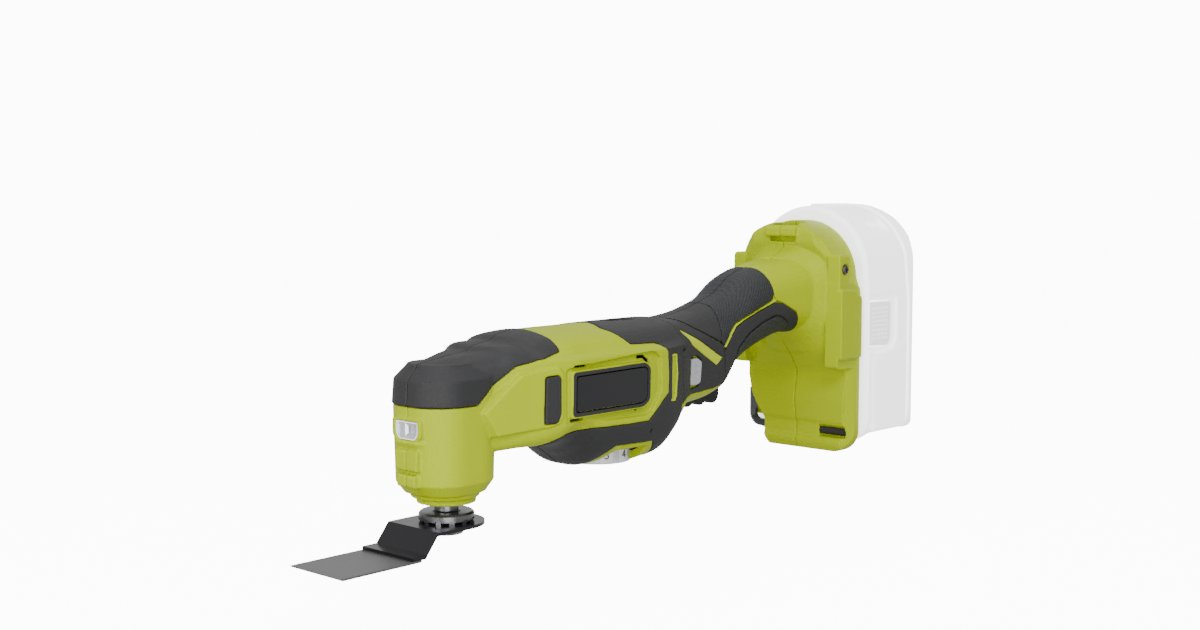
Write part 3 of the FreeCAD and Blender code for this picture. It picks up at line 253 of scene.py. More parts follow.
def combine(piece, kind, *tools, spare=False):
    """Boolean the piece with each tool in turn. The tools go afterwards, unless spared."""
    for tool in tools:
        step = piece.modifiers.new(tool.name, "BOOLEAN")
        step.operation = kind
        step.object = tool
        step.solver = "MANIFOLD"
    settle(piece)
    if not spare:
        drop(*tools)
    return piece


def soften(piece, voxel=0.45, rounds=3, keep=0.4):
    """Even mesh with rounded edges, then fewer faces where it is flat."""
    step = piece.modifiers.new("even", "REMESH")
    step.mode = "VOXEL"
    step.voxel_size = voxel * MM
    step = piece.modifiers.new("round", "SMOOTH")
    step.factor = 0.5
    step.iterations = rounds
    if keep < 1:
        step = piece.modifiers.new("fewer", "DECIMATE")
        step.ratio = keep
    settle(piece)
    piece.data.polygons.foreach_set("use_smooth", [True] * len(piece.data.polygons))
    return piece


def mirrored(piece):
    """The piece's twin on the other side of the middle plane."""
    made = piece.copy()
    made.data = piece.data.copy()
    bpy.context.scene.collection.objects.link(made)
    made.data.transform(Matrix.Scale(-1, 4, (0, 1, 0)))
    made.data.flip_normals()
    return made


def show(piece, name, body, look, *replaced):
    """Name and dress a piece, let it ride on its body and hide the nodes that it replaces."""
    piece.name = name
    dress(piece, look)
    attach(piece, body)
    if replaced:
        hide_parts(*replaced)
    return piece


AXES = {"X": (1, 2, 0), "Y": (0, 2, 1), "Z": (0, 1, 2)}


def prism(outline, axis, start, end, far_outline=None):
    """A closed solid from an outline across one axis, to another outline at its far end."""
    wide, up, along = AXES[axis]
    points = []
    for level, line in ((start, outline), (end, far_outline or outline)):
        for spot in line:
            point = [0, 0, 0]
            point[wide], point[up], point[along] = spot[0], spot[1], level
            points.append(point)
    n = len(outline)
    faces = [tuple(range(n)), tuple(range(n, 2 * n))]
    faces += [(i, (i + 1) % n, n + (i + 1) % n, n + i) for i in range(n)]
    return solid("prism", points, faces)


def across(outline, reach=WIDE):
    """A solid with a side outline, from side to side."""
    return prism(outline, "Y", -reach, reach)


def box(x, y, z):
    return prism([(x[0], z[0]), (x[1], z[0]), (x[1], z[1]), (x[0], z[1])], "Y", *y)


def round_bar(centre, radius, axis, start, end, end_radius=None, count=64):
    angles = [2 * math.pi * i / count for i in range(count)]
    near = [(centre[0] + radius * math.cos(a), centre[1] + radius * math.sin(a)) for a in angles]
    if end_radius is None:
        end_radius = radius
    far = [(centre[0] + end_radius * math.cos(a), centre[1] + end_radius * math.sin(a))
           for a in angles]
    return prism(near, axis, start, end, far)


def filleted(outline, radius, steps=5):
    """The outline with its corners rounded."""
    result = []
    n = len(outline)
    for i in range(n):
        before, here, after = (Vector(outline[j % n]) for j in (i - 1, i, i + 1))
        back, on = (before - here), (after - here)
        reach = min(radius, back.length * 0.45, on.length * 0.45)
        start, stop = here + back.normalized() * reach, here + on.normalized() * reach
        for k in range(steps + 1):
            t = k / steps
            spot = start * (1 - t) ** 2 + here * 2 * t * (1 - t) + stop * t * t
            result.append((spot.x, spot.y))
    return result


def grown(outline, amount):
    """The outline moved outwards by the amount, or inwards when it is negative."""
    n = len(outline)
    area = sum(outline[i][0] * outline[(i + 1) % n][1] - outline[(i + 1) % n][0] * outline[i][1]
               for i in range(n))
    sign = 1 if area > 0 else -1
    result = []
    for i in range(n):
        before, here, after = (Vector(outline[j % n]) for j in (i - 1, i, i + 1))
        first, second = (here - before).normalized(), (after - here).normalized()
        n1 = Vector((first.y, -first.x)) * sign
        n2 = Vector((second.y, -second.x)) * sign
        bisector = n1 + n2
        if bisector.length < 1e-6:
            bisector = n1
        bisector.normalize()
        spot = here + bisector * (amount / max(0.35, bisector.dot(n1)))
        result.append((spot.x, spot.y))
    return result


def monotone(xs, ys, at):
    """Smooth curve through a table that never overshoots its values."""
    xs, ys, at = np.array(xs, float), np.array(ys, float), np.clip(at, xs[0], xs[-1])
    h = np.diff(xs)
    d = np.diff(ys) / h
    m = np.zeros(len(xs))
    for i in range(1, len(xs) - 1):
        if d[i - 1] * d[i] > 0:
            w1, w2 = 2 * h[i] + h[i - 1], h[i] + 2 * h[i - 1]
            m[i] = (w1 + w2) / (w1 / d[i - 1] + w2 / d[i])
    m[0], m[-1] = d[0], d[-1]
    i = np.clip(np.searchsorted(xs, at, "right") - 1, 0, len(h) - 1)
    t = (at - xs[i]) / h[i]
    return (ys[i] * (2 * t ** 3 - 3 * t ** 2 + 1) + h[i] * m[i] * (t ** 3 - 2 * t ** 2 + t)
            + ys[i + 1] * (3 * t ** 2 - 2 * t ** 3) + h[i] * m[i + 1] * (t ** 3 - t ** 2))


def section(left, right, low, top, low_radius, top_radius, arc=10, flat=10):
    """Points round a rounded rectangle, the same number whatever its size."""
    limit = min((right - left) / 2, (top - low) / 2) - 0.02
    low_radius, top_radius = min(low_radius, limit), min(top_radius, limit)
    corners = [(right, top, top_radius, -1, -1, 90), (right, low, low_radius, -1, 1, 0),
               (left, low, low_radius, 1, 1, -90), (left, top, top_radius, 1, -1, -180)]
    points = []
    arcs = []
    for x, y, radius, dx, dy, start in corners:
        centre = (x + dx * radius, y + dy * radius)
        arcs.append([(centre[0] + radius * math.cos(math.radians(start - 90 * k / arc)),
                      centre[1] + radius * math.sin(math.radians(start - 90 * k / arc)))
                     for k in range(arc + 1)])
    for i, curve in enumerate(arcs):
        points += curve
        first, last = curve[-1], arcs[(i + 1) % 4][0]
        points += [(first[0] + (last[0] - first[0]) * k / flat,
                    first[1] + (last[1] - first[1]) * k / flat) for k in range(1, flat)]
    return points


def loft(name, rings):
    """A closed solid through rings of points."""
    n = len(rings[0])
    points = [p for ring in rings for p in ring]
    faces = [tuple(range(n)), tuple(range(len(points) - n, len(points)))]
    for r in range(len(rings) - 1):
        a, b = r * n, (r + 1) * n
        faces += [(a + i, a + (i + 1) % n, b + (i + 1) % n, b + i) for i in range(n)]
    return solid(name, points, faces)


def joined(blocks):
    """One object from separate small solids."""
    work = bmesh.new()
    for block in blocks:
        work.from_mesh(block.data)
    mesh = bpy.data.meshes.new("joined")
    work.to_mesh(mesh)
    work.free()
    drop(*blocks)
    made = bpy.data.objects.new("joined", mesh)
    bpy.context.scene.collection.objects.link(made)
    return made


# ------------------------------------------------------------------ outer form, mm
#         x      low   top    half  round top, low
TRUNK = [(-15.5, 36, 66.3, 7, 6, 5), (11.6, 28.8, 70.4, 18.6, 9, 5), (24, 29.5, 73.6, 24, 10, 6),
         (40, 29, 77, 29, 12, 10), (50, 26.5, 77.2, 31, 12, 22), (60, 20.5, 77.3, 31, 13, 29),
         (70, 14.6, 77.3, 31, 13, 27), (92, 14, 77.3, 31, 13, 20), (108, 16, 77.3, 30.3, 13, 17),
         (118, 22.5, 77.3, 28.4, 12.5, 14), (126, 29, 77.2, 26, 12, 12),
         (137, 35.2, 76.4, 21.5, 12, 9), (152, 36.6, 78, 20, 14, 9), (167, 39, 81.8, 19, 15, 12),
         (177, 48.4, 85.0, 18.5, 15, 14), (192, 55.5, 93.7, 18.2, 15, 15),
         (207, 60.5, 98.3, 18.5, 15, 15), (222, 64, 100.7, 20, 15, 15), (246, 62, 104, 24, 16, 16)]
#          z     front  back  half  radius
BARREL = [(12.7, -16.2, 15.0, 15.4, 12), (17.6, -20.0, 18.6, 18.4, 15), (50, -20.9, 19.4, 18.9, 15.5),
          (60.5, -20.2, 22, 18.2, 15), (66.4, -14.8, 24, 12.5, 10)]
RING_PITCH = 1.25               # between the trunk's rings
CROWN = 3.4                     # how far the top falls to CROWN_HALF from its middle line
CROWN_HALF = 20
CROWN_LOW, CROWN_FADE = 66, 8   # from this height up, fully from 8 mm higher
CROWN_SPAN = (14, 30, 170, 196)
STEP_STARTS = (11.6, 25.0)      # where the head cover steps up, in x
STEP_RISE, STEP_RUN, STEP_TAIL = 0.6, 2.4, 9
STEP_SWEEP = 0.16               # how far a step falls back to the sides
STEP_LOW, STEP_FADE = 58, 10


def column(table, key, at):
    return monotone([row[0] for row in table], [row[key] for row in table], at)


def crown_fall(x, y, z):
    """How far a point of the trunk's top lies under the flat table top."""
    if z <= CROWN_LOW:
        return 0.0
    along = float(np.interp(x, CROWN_SPAN, (0, 1, 1, 0)))
    return CROWN * (y / CROWN_HALF) ** 2 * min(1.0, (z - CROWN_LOW) / CROWN_FADE) * along


def step_lift(x, y, z):
    """The head cover's raised chevrons: a dip, a quick rise and a slow way back for each."""
    if z <= STEP_LOW:
        return 0.0
    lift = 0.0
    for begin in STEP_STARTS:
        ahead = x - STEP_SWEEP * abs(y) - begin
        if -STEP_TAIL < ahead < 0:
            lift -= (ahead + STEP_TAIL) / STEP_TAIL
        elif 0 <= ahead < STEP_RUN:
            lift += 2 * ahead / STEP_RUN - 1
        elif STEP_RUN <= ahead < STEP_TAIL + STEP_RUN:
            lift += 1 - (ahead - STEP_RUN) / STEP_TAIL
    return STEP_RISE * lift * min(1.0, (z - STEP_LOW) / STEP_FADE)


def trunk(out, start=-99.0, stop=300.0, stepped=False):
    """The arm, body, neck and grip, grown outwards by a distance."""
    first, last = TRUNK[0][0] - out, TRUNK[-1][0] + out
    xs = np.arange(max(first, start), min(last, stop) + 0.01, RING_PITCH)
    rings = []
    for x in xs:
        low, top, half, round_top, round_low = (float(column(TRUNK, k, x)) for k in range(1, 6))
        ring = section(-half - out, half + out, low - out, top + out,
                       max(1.0, round_low + out), max(1.0, round_top + out))
        rings.append([(x, y, z - crown_fall(x, y, z) + (step_lift(x, y, z) if stepped else 0.0))
                      for y, z in ring])
    return loft("trunk", rings)


def barrel(out):
    """The head barrel, grown outwards by a distance."""
    low, top = BARREL[0][0] - out, BARREL[-1][0] + out
    levels = sorted(set([low, top] + [float(z) for z in np.arange(low + 1, top, 1.0)]
                        + [row[0] for row in BARREL[1:-1]]))
    levels = [z for i, z in enumerate(levels) if i == 0 or z - levels[i - 1] > 0.2 or z == top]
    rings = []
    table = np.array(BARREL)
    for z in levels:
        front, back, half, radius = (float(np.interp(z, table[:, 0], table[:, k]))
                                     for k in range(1, 5))
        rings.append([(x, y, z) for x, y in
                      section(front - out, back + out, -half - out, half + out,
                              max(1.0, radius + out), max(1.0, radius + out))])
    return loft("barrel", rings)


def upright_outline(half, low, corner, shoulder, neck_half, neck, crown):
    """Outline of the foot or the pack: flat base with round corners, and a domed top."""
    rise = crown - neck
    dome = (neck_half * neck_half + rise * rise) / (2 * rise)
    centre = crown - dome
    right = [(half - corner + corner * math.sin(math.radians(a)),
              low + corner - corner * math.cos(math.radians(a))) for a in range(0, 91, 10)]
    right.append((half, shoulder))
    sweep = math.asin(neck_half / dome)
    right += [(dome * math.sin(sweep * (1 - k / 14)), centre + dome * math.cos(sweep * (1 - k / 14)))
              for k in range(14)]
    return right + [(0, crown)] + [(-y, z) for y, z in reversed(right)]


FOOT = dict(half=34, low=-1.5, corner=12, shoulder=84, neck_half=31.2, neck=91.5, crown=121.5)
RECESS = dict(half=30.5, low=16, corner=6, shoulder=56, neck_half=25.5, neck=92, crown=105)
PACK = dict(half=38.3, low=3.5, corner=14, shoulder=78, neck_half=36, neck=102, crown=129)
SEAM_X = 262
FOOT_PROFILE = [(SEAM_X, -3), (254, -1.8), (251.6, 2), (251.4, 4.9), (252.9, 6.4), (253, 13),
                (251.9, 14.8), (250.4, 26.5), (253, 40.5), (244.4, 52.7), (243, 57),
                (243, 98), (240.6, 105), (238, 110), (238.2, 116), (240.5, 119.5), (246, 123),
                (SEAM_X, 123)]
FOOT_PLAN = [(232, -10), (240, -22), (243, -29), (246, -31), (252, -31.4), (256.5, -33.8),
             (SEAM_X, -34.6), (SEAM_X, 34.6), (256.5, 33.8), (252, 31.4), (246, 31), (243, 29),
             (240, 22), (232, 10)]
WING = [(241, 49.6), (260.4, 49.6), (260.4, 81.5), (252, 85.6), (241, 86)]
WING_BASE = [(241, 45), (244, 44), (SEAM_X, 44), (SEAM_X, 86), (254, 90), (241, 90)]
SCREW_PAD = [(241.2, 86.4), (251, 86.4), (251, 104), (241.2, 104)]
FOOT_SCREW = (247.0, 96.2)      # x and z of the screw in each pad
COVER_LINE = [(-40, 50), (1, 50), (19.5, 64.7), (42.8, 69.2), (42.8, 75), (45.5, 90), (-40, 90)]
BELT_LINE = [(24, 0), (119, 0), (121.6, 37.2), (123.6, 43), (122.4, 50), (122.2, 62.4),
             (126.6, 64.4), (126.6, 95), (79.2, 95), (79.2, 77.3), (82, 75.3), (87.6, 69),
             (103.2, 68.5), (106.4, 67.4), (108.5, 64.8), (109.6, 54.3), (109.2, 45.7),
             (94.3, 34.2), (61.7, 34.4), (44.2, 33.7), (33.9, 29.8), (24, 27)]
BELT_PEAK = [(60, 0), (87, 0), (79.2, -17.5), (79.2, -40), (60, -40)]     # in plan, on top
BELT_WINDOW = [(68.5, 5), (70, 15), (73, 20), (77, 24.6), (99.5, 24.6), (104.5, 17), (107, 5)]
DIAL_WINDOW = [(72.5, 5), (74, 16), (78.6, 21.9), (97, 22.6), (97, 5)]
FRAME_RECESS = [(42, 61.9), (97.5, 65.4), (102.4, 62.9), (103.5, 47.5), (96.2, 37.9), (92.4, 37.2),
                (42.4, 38)]
PLATE = [(45.4, 60), (91.8, 60.5), (94.6, 58.1), (94.2, 44.2), (90, 41.6), (45, 41.7)]
ARM_PANEL = [(1.5, 46.4), (19.3, 62.2), (30, 64), (38.9, 64.9), (42, 61.5), (42, 41), (39.8, 38),
             (35.6, 36.5), (8, 35.6)]
ARM_PANEL_TOP = [(7.5, 47), (21.5, 59.8), (30, 61.9), (38, 63.1), (40, 60.5), (40, 42), (38.6, 39.9),
                 (34.5, 38.5), (11.5, 38)]
SIDE_PAD = [(31.8, 59.3), (37.9, 59.8), (38.8, 58.3), (38.8, 43.5), (37.2, 39.6), (31.1, 39.5)]
SLOT_RIM = [(111.8, 62.9), (116.5, 62.7), (117.7, 53.3), (116.4, 43), (114.9, 40.9), (110.9, 41.2),
            (110.9, 42.3), (113.6, 42.2), (115, 44), (116.5, 53.3), (115.4, 61.6), (111.8, 61.8)]
SLOT_FLOOR = [(111.9, 62.6), (116.0, 62.3), (116.6, 53.3), (115.4, 41.4), (111.3, 41.5)]
T_GROOVE = [(110.6, 65), (125.6, 65.2), (125.6, 62.9), (121.9, 62.6), (121.4, 60.6), (110.6, 63.8)]
# Grip: neck panel, thumb saddle, upper zone, lower pad, and the lime seam between the last two.
NECK = [(126.9, 110), (126.9, 64.2), (122.5, 62.2), (122.7, 50), (123.9, 43), (122, 38.2),
        (127.9, 40.7), (134.7, 41.2), (157.8, 42), (165.2, 42.8), (164.7, 52.6), (164.2, 59.6),
        (164.4, 61.7), (160.9, 63.5), (153.2, 66.8), (144.1, 71.6), (137.6, 75.6), (130.6, 79),
        (130.6, 110)]
SADDLE = [(131, 110), (131, 79.4), (137.8, 76.1), (144.2, 72.1), (153.3, 67.3), (160.6, 64.1),
          (162.5, 69.2), (164.1, 74.4), (165.7, 79.9), (166, 83.8), (166, 110)]
UPPER_GRIP = [(166.5, 110), (166.5, 83.8), (166.2, 79.9), (164.6, 74.4), (163, 69.2), (161.2, 64.1),
              (164.3, 62.0), (170.0, 68.7), (175, 72.3), (204.3, 82.2), (206, 85.4), (205.3, 91),
              (204.8, 98), (206, 103), (206, 110)]
LOWER_GRIP = [(207.2, 80.7), (213.1, 79.8), (224.2, 74.4), (227.4, 70.3), (231, 64.5), (231, 30),
              (165.7, 30), (165.6, 43), (165.2, 52.6), (164.8, 59.4), (166, 60.2), (171.8, 66.6),
              (175.3, 69.8), (182.2, 72.9), (193.2, 76.5)]
LIME_SEAM = [(164.8, 61.2), (170.4, 68.2), (175.2, 71.7), (204.8, 81.4), (207.0, 82.6),
             (208.0, 81.2), (193, 77.1), (182, 73.5), (175, 70.5), (171.4, 67.2), (166, 60.9)]
GRIP_ALL = [(126.8, 120), (126.8, 64.2), (122.4, 62.2), (122.6, 50), (123.8, 43), (121.9, 38),
            (127.9, 40.6), (134.7, 41.1), (157.8, 41.9), (165.5, 42.7), (165.6, 30), (231.2, 30),
            (231.2, 64.5), (227.7, 70.3), (224.4, 74.8), (213.1, 80.3), (208.2, 81.6),
            (206.3, 85.4), (205.6, 91), (205.1, 98), (206.3, 103), (206.3, 120)]
LOW_KNURL = [(207.9, 73.7), (213.5, 72.3), (221, 68.6), (221.5, 63.5), (205, 57.5), (190, 52.5),
             (180, 49), (172.5, 44.6), (171.5, 47), (177.6, 60), (186.2, 66.3), (197, 70.8)]
ACCENT = [(129.4, 72.2), (133.2, 71.1), (161.2, 56.9), (163, 57), (157.6, 53), (136.3, 64.6)]
LOCK_WINDOW = [(134, 58.6), (140.1, 59.3), (144.6, 56.9), (143.5, 46), (141.3, 44.4), (133, 43.4),
               (133.4, 46.6)]
LOCK_CAP = [(135.4, 57.9), (139.6, 58.1), (142.9, 56.2), (142, 46.6), (140.2, 45.6), (134.6, 45.4)]
TRIGGER_ROOM = ((146, 176.8), (-7.1, 7.1), (20, 56))
DIAL_AT, DIAL_R, DIAL_LOW, DIAL_TOP = (93.0, 0.0), 16.0, 13.5, 20.5
SCREW_PLACES = ((48, 69.5), (108, 69.5), (58, 23.2), (116, 28), (129, 67), (186, 72))
LIP = 0.35                      # how far the soft overmoulds stand proud of the hard shell
SKIN, WALL = 1.5, 2.2
SHELL_VOXEL = 0.42


def full_outer(out):
    """The whole outside of the head and body, one side to the other."""
    whole = trunk(out, stepped=out > 0)
    return combine(whole, "UNION", barrel(out))


def layer(out, inner, start, stop, *outlines):
    """A layer of the trunk's surface between two offsets, within side outlines on the near side."""
    sheet = combine(trunk(out, start, stop), "DIFFERENCE", trunk(inner, start - 12, stop + 12))
    return combine(sheet, "INTERSECT", *[across(line) for line in outlines])


near_half = box((-60, 400), (-WIDE, -0.07), (-40, 180))

foot = prism([(y, z) for y, z in upright_outline(**FOOT)], "X", 229, SEAM_X)
foot = combine(foot, "INTERSECT", across(filleted(FOOT_PROFILE, 3)),
               prism(FOOT_PLAN, "Z", -40, 180))
low_corners = prism([(240, -27.6), (252, -28.2), (257.4, -32.6), (257.4, -40), (240, -40)], "Z",
                    -3, 28, [(240, -30.6), (252, -31.4), (256.5, -33.9), (257.4, -40), (240, -40)])
foot = combine(foot, "DIFFERENCE", mirrored(low_corners), low_corners)
collar = loft("collar", [[(x, y, z) for y, z in section(-h, h, lo, hi, r, r)] for x, h, lo, hi, r in
                         ((228, 18.6, 66, 102.3, 16), (232, 20.4, 62.5, 103.8, 17),
                          (236, 22.6, 59.5, 105.8, 18.5), (240, 25.4, 56.5, 108.4, 20),
                          (244, 28.4, 52, 111, 22), (249, 31, 48, 112.5, 22))])
wings = combine(prism(filleted(WING, 1.5), "Y", -36, 36), "DIFFERENCE",
                box((230, 262), (-29.5, 29.5), (40, 95)))
wing_base = combine(prism(filleted(WING_BASE, 1.5), "Y", -33.6, 33.6), "DIFFERENCE",
                    box((230, 262), (-25.6, 25.6), (40, 95)))
screw_pads = combine(prism(filleted(SCREW_PAD, 1.2), "Y", -34.3, 34.3), "INTERSECT",
                     prism(filleted([(-34.3, 80), (34.3, 80), (34.3, 103), (30, 107), (-30, 107),
                                     (-34.3, 103)], 2.0), "X", 230, 260))
screw_pads = combine(screw_pads, "DIFFERENCE", box((230, 262), (-26.5, 26.5), (80, 110)))
screw_seats = [round_bar(FOOT_SCREW, 3.1, "Y", y, y + 4) for y in (-37.2, 33.2)]
strap_bar = combine(prism(filleted([(235.4, 113.2), (239.6, 112.6), (241, 115), (240.6, 118.4),
                                    (237.2, 119.2), (235.4, 117.4)], 1.2), "Y", -9.5, 9.5),
                    "UNION", box((238, 243), (8.2, 10.4), (110, 118.6)),
                    box((238, 243), (-10.4, -8.2), (110, 118.6)))
boss = round_bar((0, 0), 12.5, "Z", 8, 14)
boss_ring = round_bar((-0.6, 0), 14.2, "Z", 10.6, 14, 15.4)
nose_pads = [prism([(-22.1, z0 + 0.7), (-21.4, z0), (-15, z0), (-15, z1), (-21.4, z1),
                    (-22.1, z1 - 0.7)], "Y", -half, half)
             for z0, z1, half in ((23.6, 32.4, 6.9), (16.8, 22.2, 5.6))]
nose_shelf = loft("nose_shelf", [[(x, y, z) for x, y in ((-14, -13), (back, -10.6), (front, -6.4),
                                                        (front, 6.4), (back, 10.6), (-14, 13))]
                                 for z, front, back in ((32.8, -20.6, -16.6), (35.4, -22.2, -18.6),
                                                        (36.4, -21.2, -17.6))])
lamp_frame = prism(filleted([(-8.8, 45.2), (8.8, 45.2), (8.8, 38.4), (6.4, 35.4), (-6.4, 35.4),
                             (-8.8, 38.4)], 1.2), "X", -21.7, -15)
arm_panel = prism(ARM_PANEL, "Y", -17.5, -30.6, ARM_PANEL_TOP)


def leaning_space(outward=0.0):
    """The space inside the arm's leaning side, with that side moved outwards."""
    plan = ((-2, -8), (-2, -19.6), (5.5, -21.6), (24, -25.6), (39.5, -29.9), (60, -31.2), (60, -8))
    count = len(plan)
    return solid("lean", [(x, y - outward, z) for x, y in plan for z in (20, 80)],
                 [tuple(range(0, 2 * count, 2)), tuple(range(1, 2 * count, 2))]
                 + [(2 * i, (2 * i + 2) % (2 * count), (2 * i + 3) % (2 * count), 2 * i + 1)
                    for i in range(count)])


arm_panel = combine(arm_panel, "INTERSECT", leaning_space())

shell = full_outer(0.0)
shell = combine(shell, "UNION", boss, boss_ring, foot, collar, wing_base, wings, screw_pads,
                *nose_pads, nose_shelf, lamp_frame, arm_panel)

# Cavities and ports.
cavity = combine(trunk(-SKIN - WALL), "UNION", barrel(-1.9))
recess = combine(prism(upright_outline(**RECESS), "X", 230, SEAM_X + 1), "INTERSECT",
                 across([(SEAM_X + 1, 15), (257, 15), (256.5, 40), (248.5, 54), (240.5, 69),
                        (238, 92), (240, 106), (SEAM_X + 1, 106)]),
                 prism([(236, -9), (250, -19.5), (SEAM_X + 1, -29), (SEAM_X + 1, 29), (250, 19.5),
                        (236, 9)], "Z", -40, 180))
stem_port = prism(section(-14, 14, 68.6, 94.4, 8, 8), "X", 236, SEAM_X + 1)
shell = combine(shell, "DIFFERENCE", cavity, recess, stem_port)
frame_room = prism(filleted(grown(FRAME_RECESS, 1.0), 2.5), "Y", -34, -28.9,
                   filleted(FRAME_RECESS, 2.5))
shell = combine(shell, "DIFFERENCE", frame_room)
plate_rim = prism(filleted(grown(PLATE, 1.5), 1.8), "Y", -28.0, -31.1,
                  filleted(grown(PLATE, 1.0), 1.8))
shell = combine(shell, "UNION", plate_rim)
ports = [
    prism(filleted(grown(PLATE, 0.15), 1.5), "Y", -40, -28.75),
    prism(filleted(grown(SIDE_PAD, 0.3), 1.0), "Y", -40, -26.2),
    box((45.9, 55.3), (-40, -20), (62.2, 63.3)), box((45, 53.8), (-40, -20), (39, 40.2)),
    prism([(87.6, 64.2), (93, 64), (96.4, 61.5), (96.5, 45.8), (94.6, 44), (94.8, 60.2), (92, 62.7),
           (88.1, 62.7)], "Y", -40, -20),
    box((86.4, 88.8), (-40, -20), (39.6, 40.8)),
    prism([(-6.9, 44.2), (6.9, 44.2), (6.9, 38.8), (4.7, 36.4), (-4.7, 36.4), (-6.9, 38.8)], "X",
          -30, -12),
    round_bar((0, 0), 11, "Z", 0, 20),
    round_bar(DIAL_AT, DIAL_R + 0.6, "Z", 0, 21.2),
    across(DIAL_WINDOW),
    box(*TRIGGER_ROOM),
    across(grown(LOCK_CAP, 0.4)),
    box((230, 249), (-8.2, 8.2), (110.4, 112.4)), box((240.6, 250), (-8.2, 8.2), (110.4, 130)),
    box((230, 240.7), (-8.2, 8.2), (112.3, 130)), *screw_seats,
]
shell = combine(shell, "DIFFERENCE", *ports)
shell = combine(shell, "UNION", strap_bar)
cover_cut = across(grown(COVER_LINE, 0.2))
shell = combine(shell, "DIFFERENCE", cover_cut)
belt_room = layer(3.0, -SKIN, 20, 132, grown(BELT_LINE, 0.15))
belt_room = combine(belt_room, "DIFFERENCE", across(grown(BELT_WINDOW, -0.15)),
                    prism(BELT_PEAK, "Z", 75.6, 95))
grip_room = layer(3.0, -SKIN, 120, 233, GRIP_ALL)
shell = combine(shell, "DIFFERENCE", belt_room, grip_room)

near_shell = combine(shell, "INTERSECT", near_half, spare=True)
far_shell = mirrored(near_shell)
near_shell = combine(near_shell, "DIFFERENCE", prism(filleted(
    [(238, 6.3), (256, 6.3), (256, 12.6), (238, 12.6)], 0.8), "Y", -30.5, -14.5))
key_notch = combine(prism([(40, 45), (33, 40), (29, 28), (25.5, 20), (21.5, 13.5), (21.5, 6), (40, 6)],
                          "X", 240, 259.6), "UNION",
                    prism([(22.5, 13.4), (40, 13.4), (40, -6), (17, -6), (20.5, 3)], "X", 240, 263))
head_sinks = [round_bar(spot, 3, "Y", 12, 50) for spot in SCREW_PLACES[:1] + SCREW_PLACES[3:4]]
far_shell = combine(far_shell, "DIFFERENCE", key_notch, *head_sinks)
near_shell = soften(near_shell, SHELL_VOXEL, 4, 0.4)
far_shell = soften(far_shell, SHELL_VOXEL, 4, 0.4)
show(near_shell, "left_shell", "case", "lime_plastic", "left_housing")
show(far_shell, "right_shell", "case", "lime_plastic", "right_housing")

# Head cover.
cover = combine(full_outer(0.5), "DIFFERENCE",
                combine(trunk(-SKIN - WALL), "UNION", barrel(-1.9)))
cover = combine(cover, "INTERSECT", across(filleted(COVER_LINE, 1.2)))
cover = combine(cover, "INTERSECT", near_half, spare=True)
cover = soften(cover, 0.45, 5, 0.4)
show(cover, "left_cover", "case", "soft_grey", "left_head_cover")
show(mirrored(cover), "right_cover", "case", "soft_grey", "right_head_cover")


def both_sides(piece, name, body, look, voxel, rounds, keep, *nodes):
    """Round the near piece, mirror it to the far side and dress both."""
    piece = combine(piece, "INTERSECT", near_half, spare=True)
    piece = soften(piece, voxel, rounds, keep)
    show(piece, "left_" + name, body, look, *["left_" + n for n in nodes])
    show(mirrored(piece), "right_" + name, body, look, *["right_" + n for n in nodes])


# Body belt.
belt = layer(LIP, 0.05 - SKIN, 20, 131, filleted(BELT_LINE, 1.2))
belt = combine(belt, "DIFFERENCE", across(BELT_WINDOW),
               round_bar(DIAL_AT, DIAL_R + 1.2, "Z", 0, 21), across(grown(SLOT_RIM, 0.12)),
               across(SLOT_FLOOR),
               prism(grown(BELT_PEAK, 0.2), "Z", 75.6, 95),
               prism(filleted([(98, -3.2), (98, 3.2), (114, 5), (114, -5)], 1), "Z", 75.9, 90),
               prism([(94.2, 26.6), (97.6, 30.2), (95.9, 30.4)], "Y", -40, -26),
               layer(2.0, -0.35, 100, 130, T_GROOVE))
both_sides(belt, "belt", "case", "soft_grey", 0.42, 3, 0.4, "body_overmould")
both_sides(layer(0.05, -1.2, 100, 130, SLOT_RIM), "slot_rim", "case", "lime_bright", 0.3, 2, 0.6)
both_sides(layer(-0.5, -1.2, 100, 130, SLOT_FLOOR), "slot_floor", "case", "lime_plastic", 0.35, 2, 0.6)

# Grip.
neck = layer(LIP, 0.05 - SKIN, 120, 172, NECK)
neck = combine(neck, "DIFFERENCE", box(*TRIGGER_ROOM),
               across(LOCK_WINDOW), across(grown(ACCENT, 0.12)))
both_sides(neck, "neck_panel", "case", "soft_grey", 0.4, 3, 0.4, "grip_overmould")
both_sides(layer(LIP - 0.1, -SKIN, 125, 170, ACCENT), "accent", "case", "lime_bright", 0.35, 2, 0.5)
both_sides(layer(LIP, 0.05 - SKIN, 125, 172, SADDLE), "saddle", "case", "soft_grey", 0.4, 3, 0.4)
both_sides(layer(LIP, 0.05 - SKIN, 155, 212, UPPER_GRIP), "upper_grip", "case", "knurl_grey",
           0.4, 3, 0.5)
lower = combine(layer(LIP, 0.05 - SKIN, 160, 236, LOWER_GRIP), "DIFFERENCE",
                box(*TRIGGER_ROOM),
                layer(2.0, -0.45, 164, 228, filleted(grown(LOW_KNURL, 0.75), 2)))
both_sides(lower, "lower_grip", "case", "soft_grey", 0.4, 3, 0.4)
low_knurl = combine(layer(0.75, -0.9, 165, 226, filleted(LOW_KNURL, 2)), "DIFFERENCE",
                    box(*TRIGGER_ROOM))
both_sides(low_knurl, "low_knurl", "case", "weave_grey", 0.35, 2, 0.5)
both_sides(layer(0.1, -1.2, 160, 212, LIME_SEAM), "lime_seam", "case", "lime_bright", 0.3, 2, 0.6)

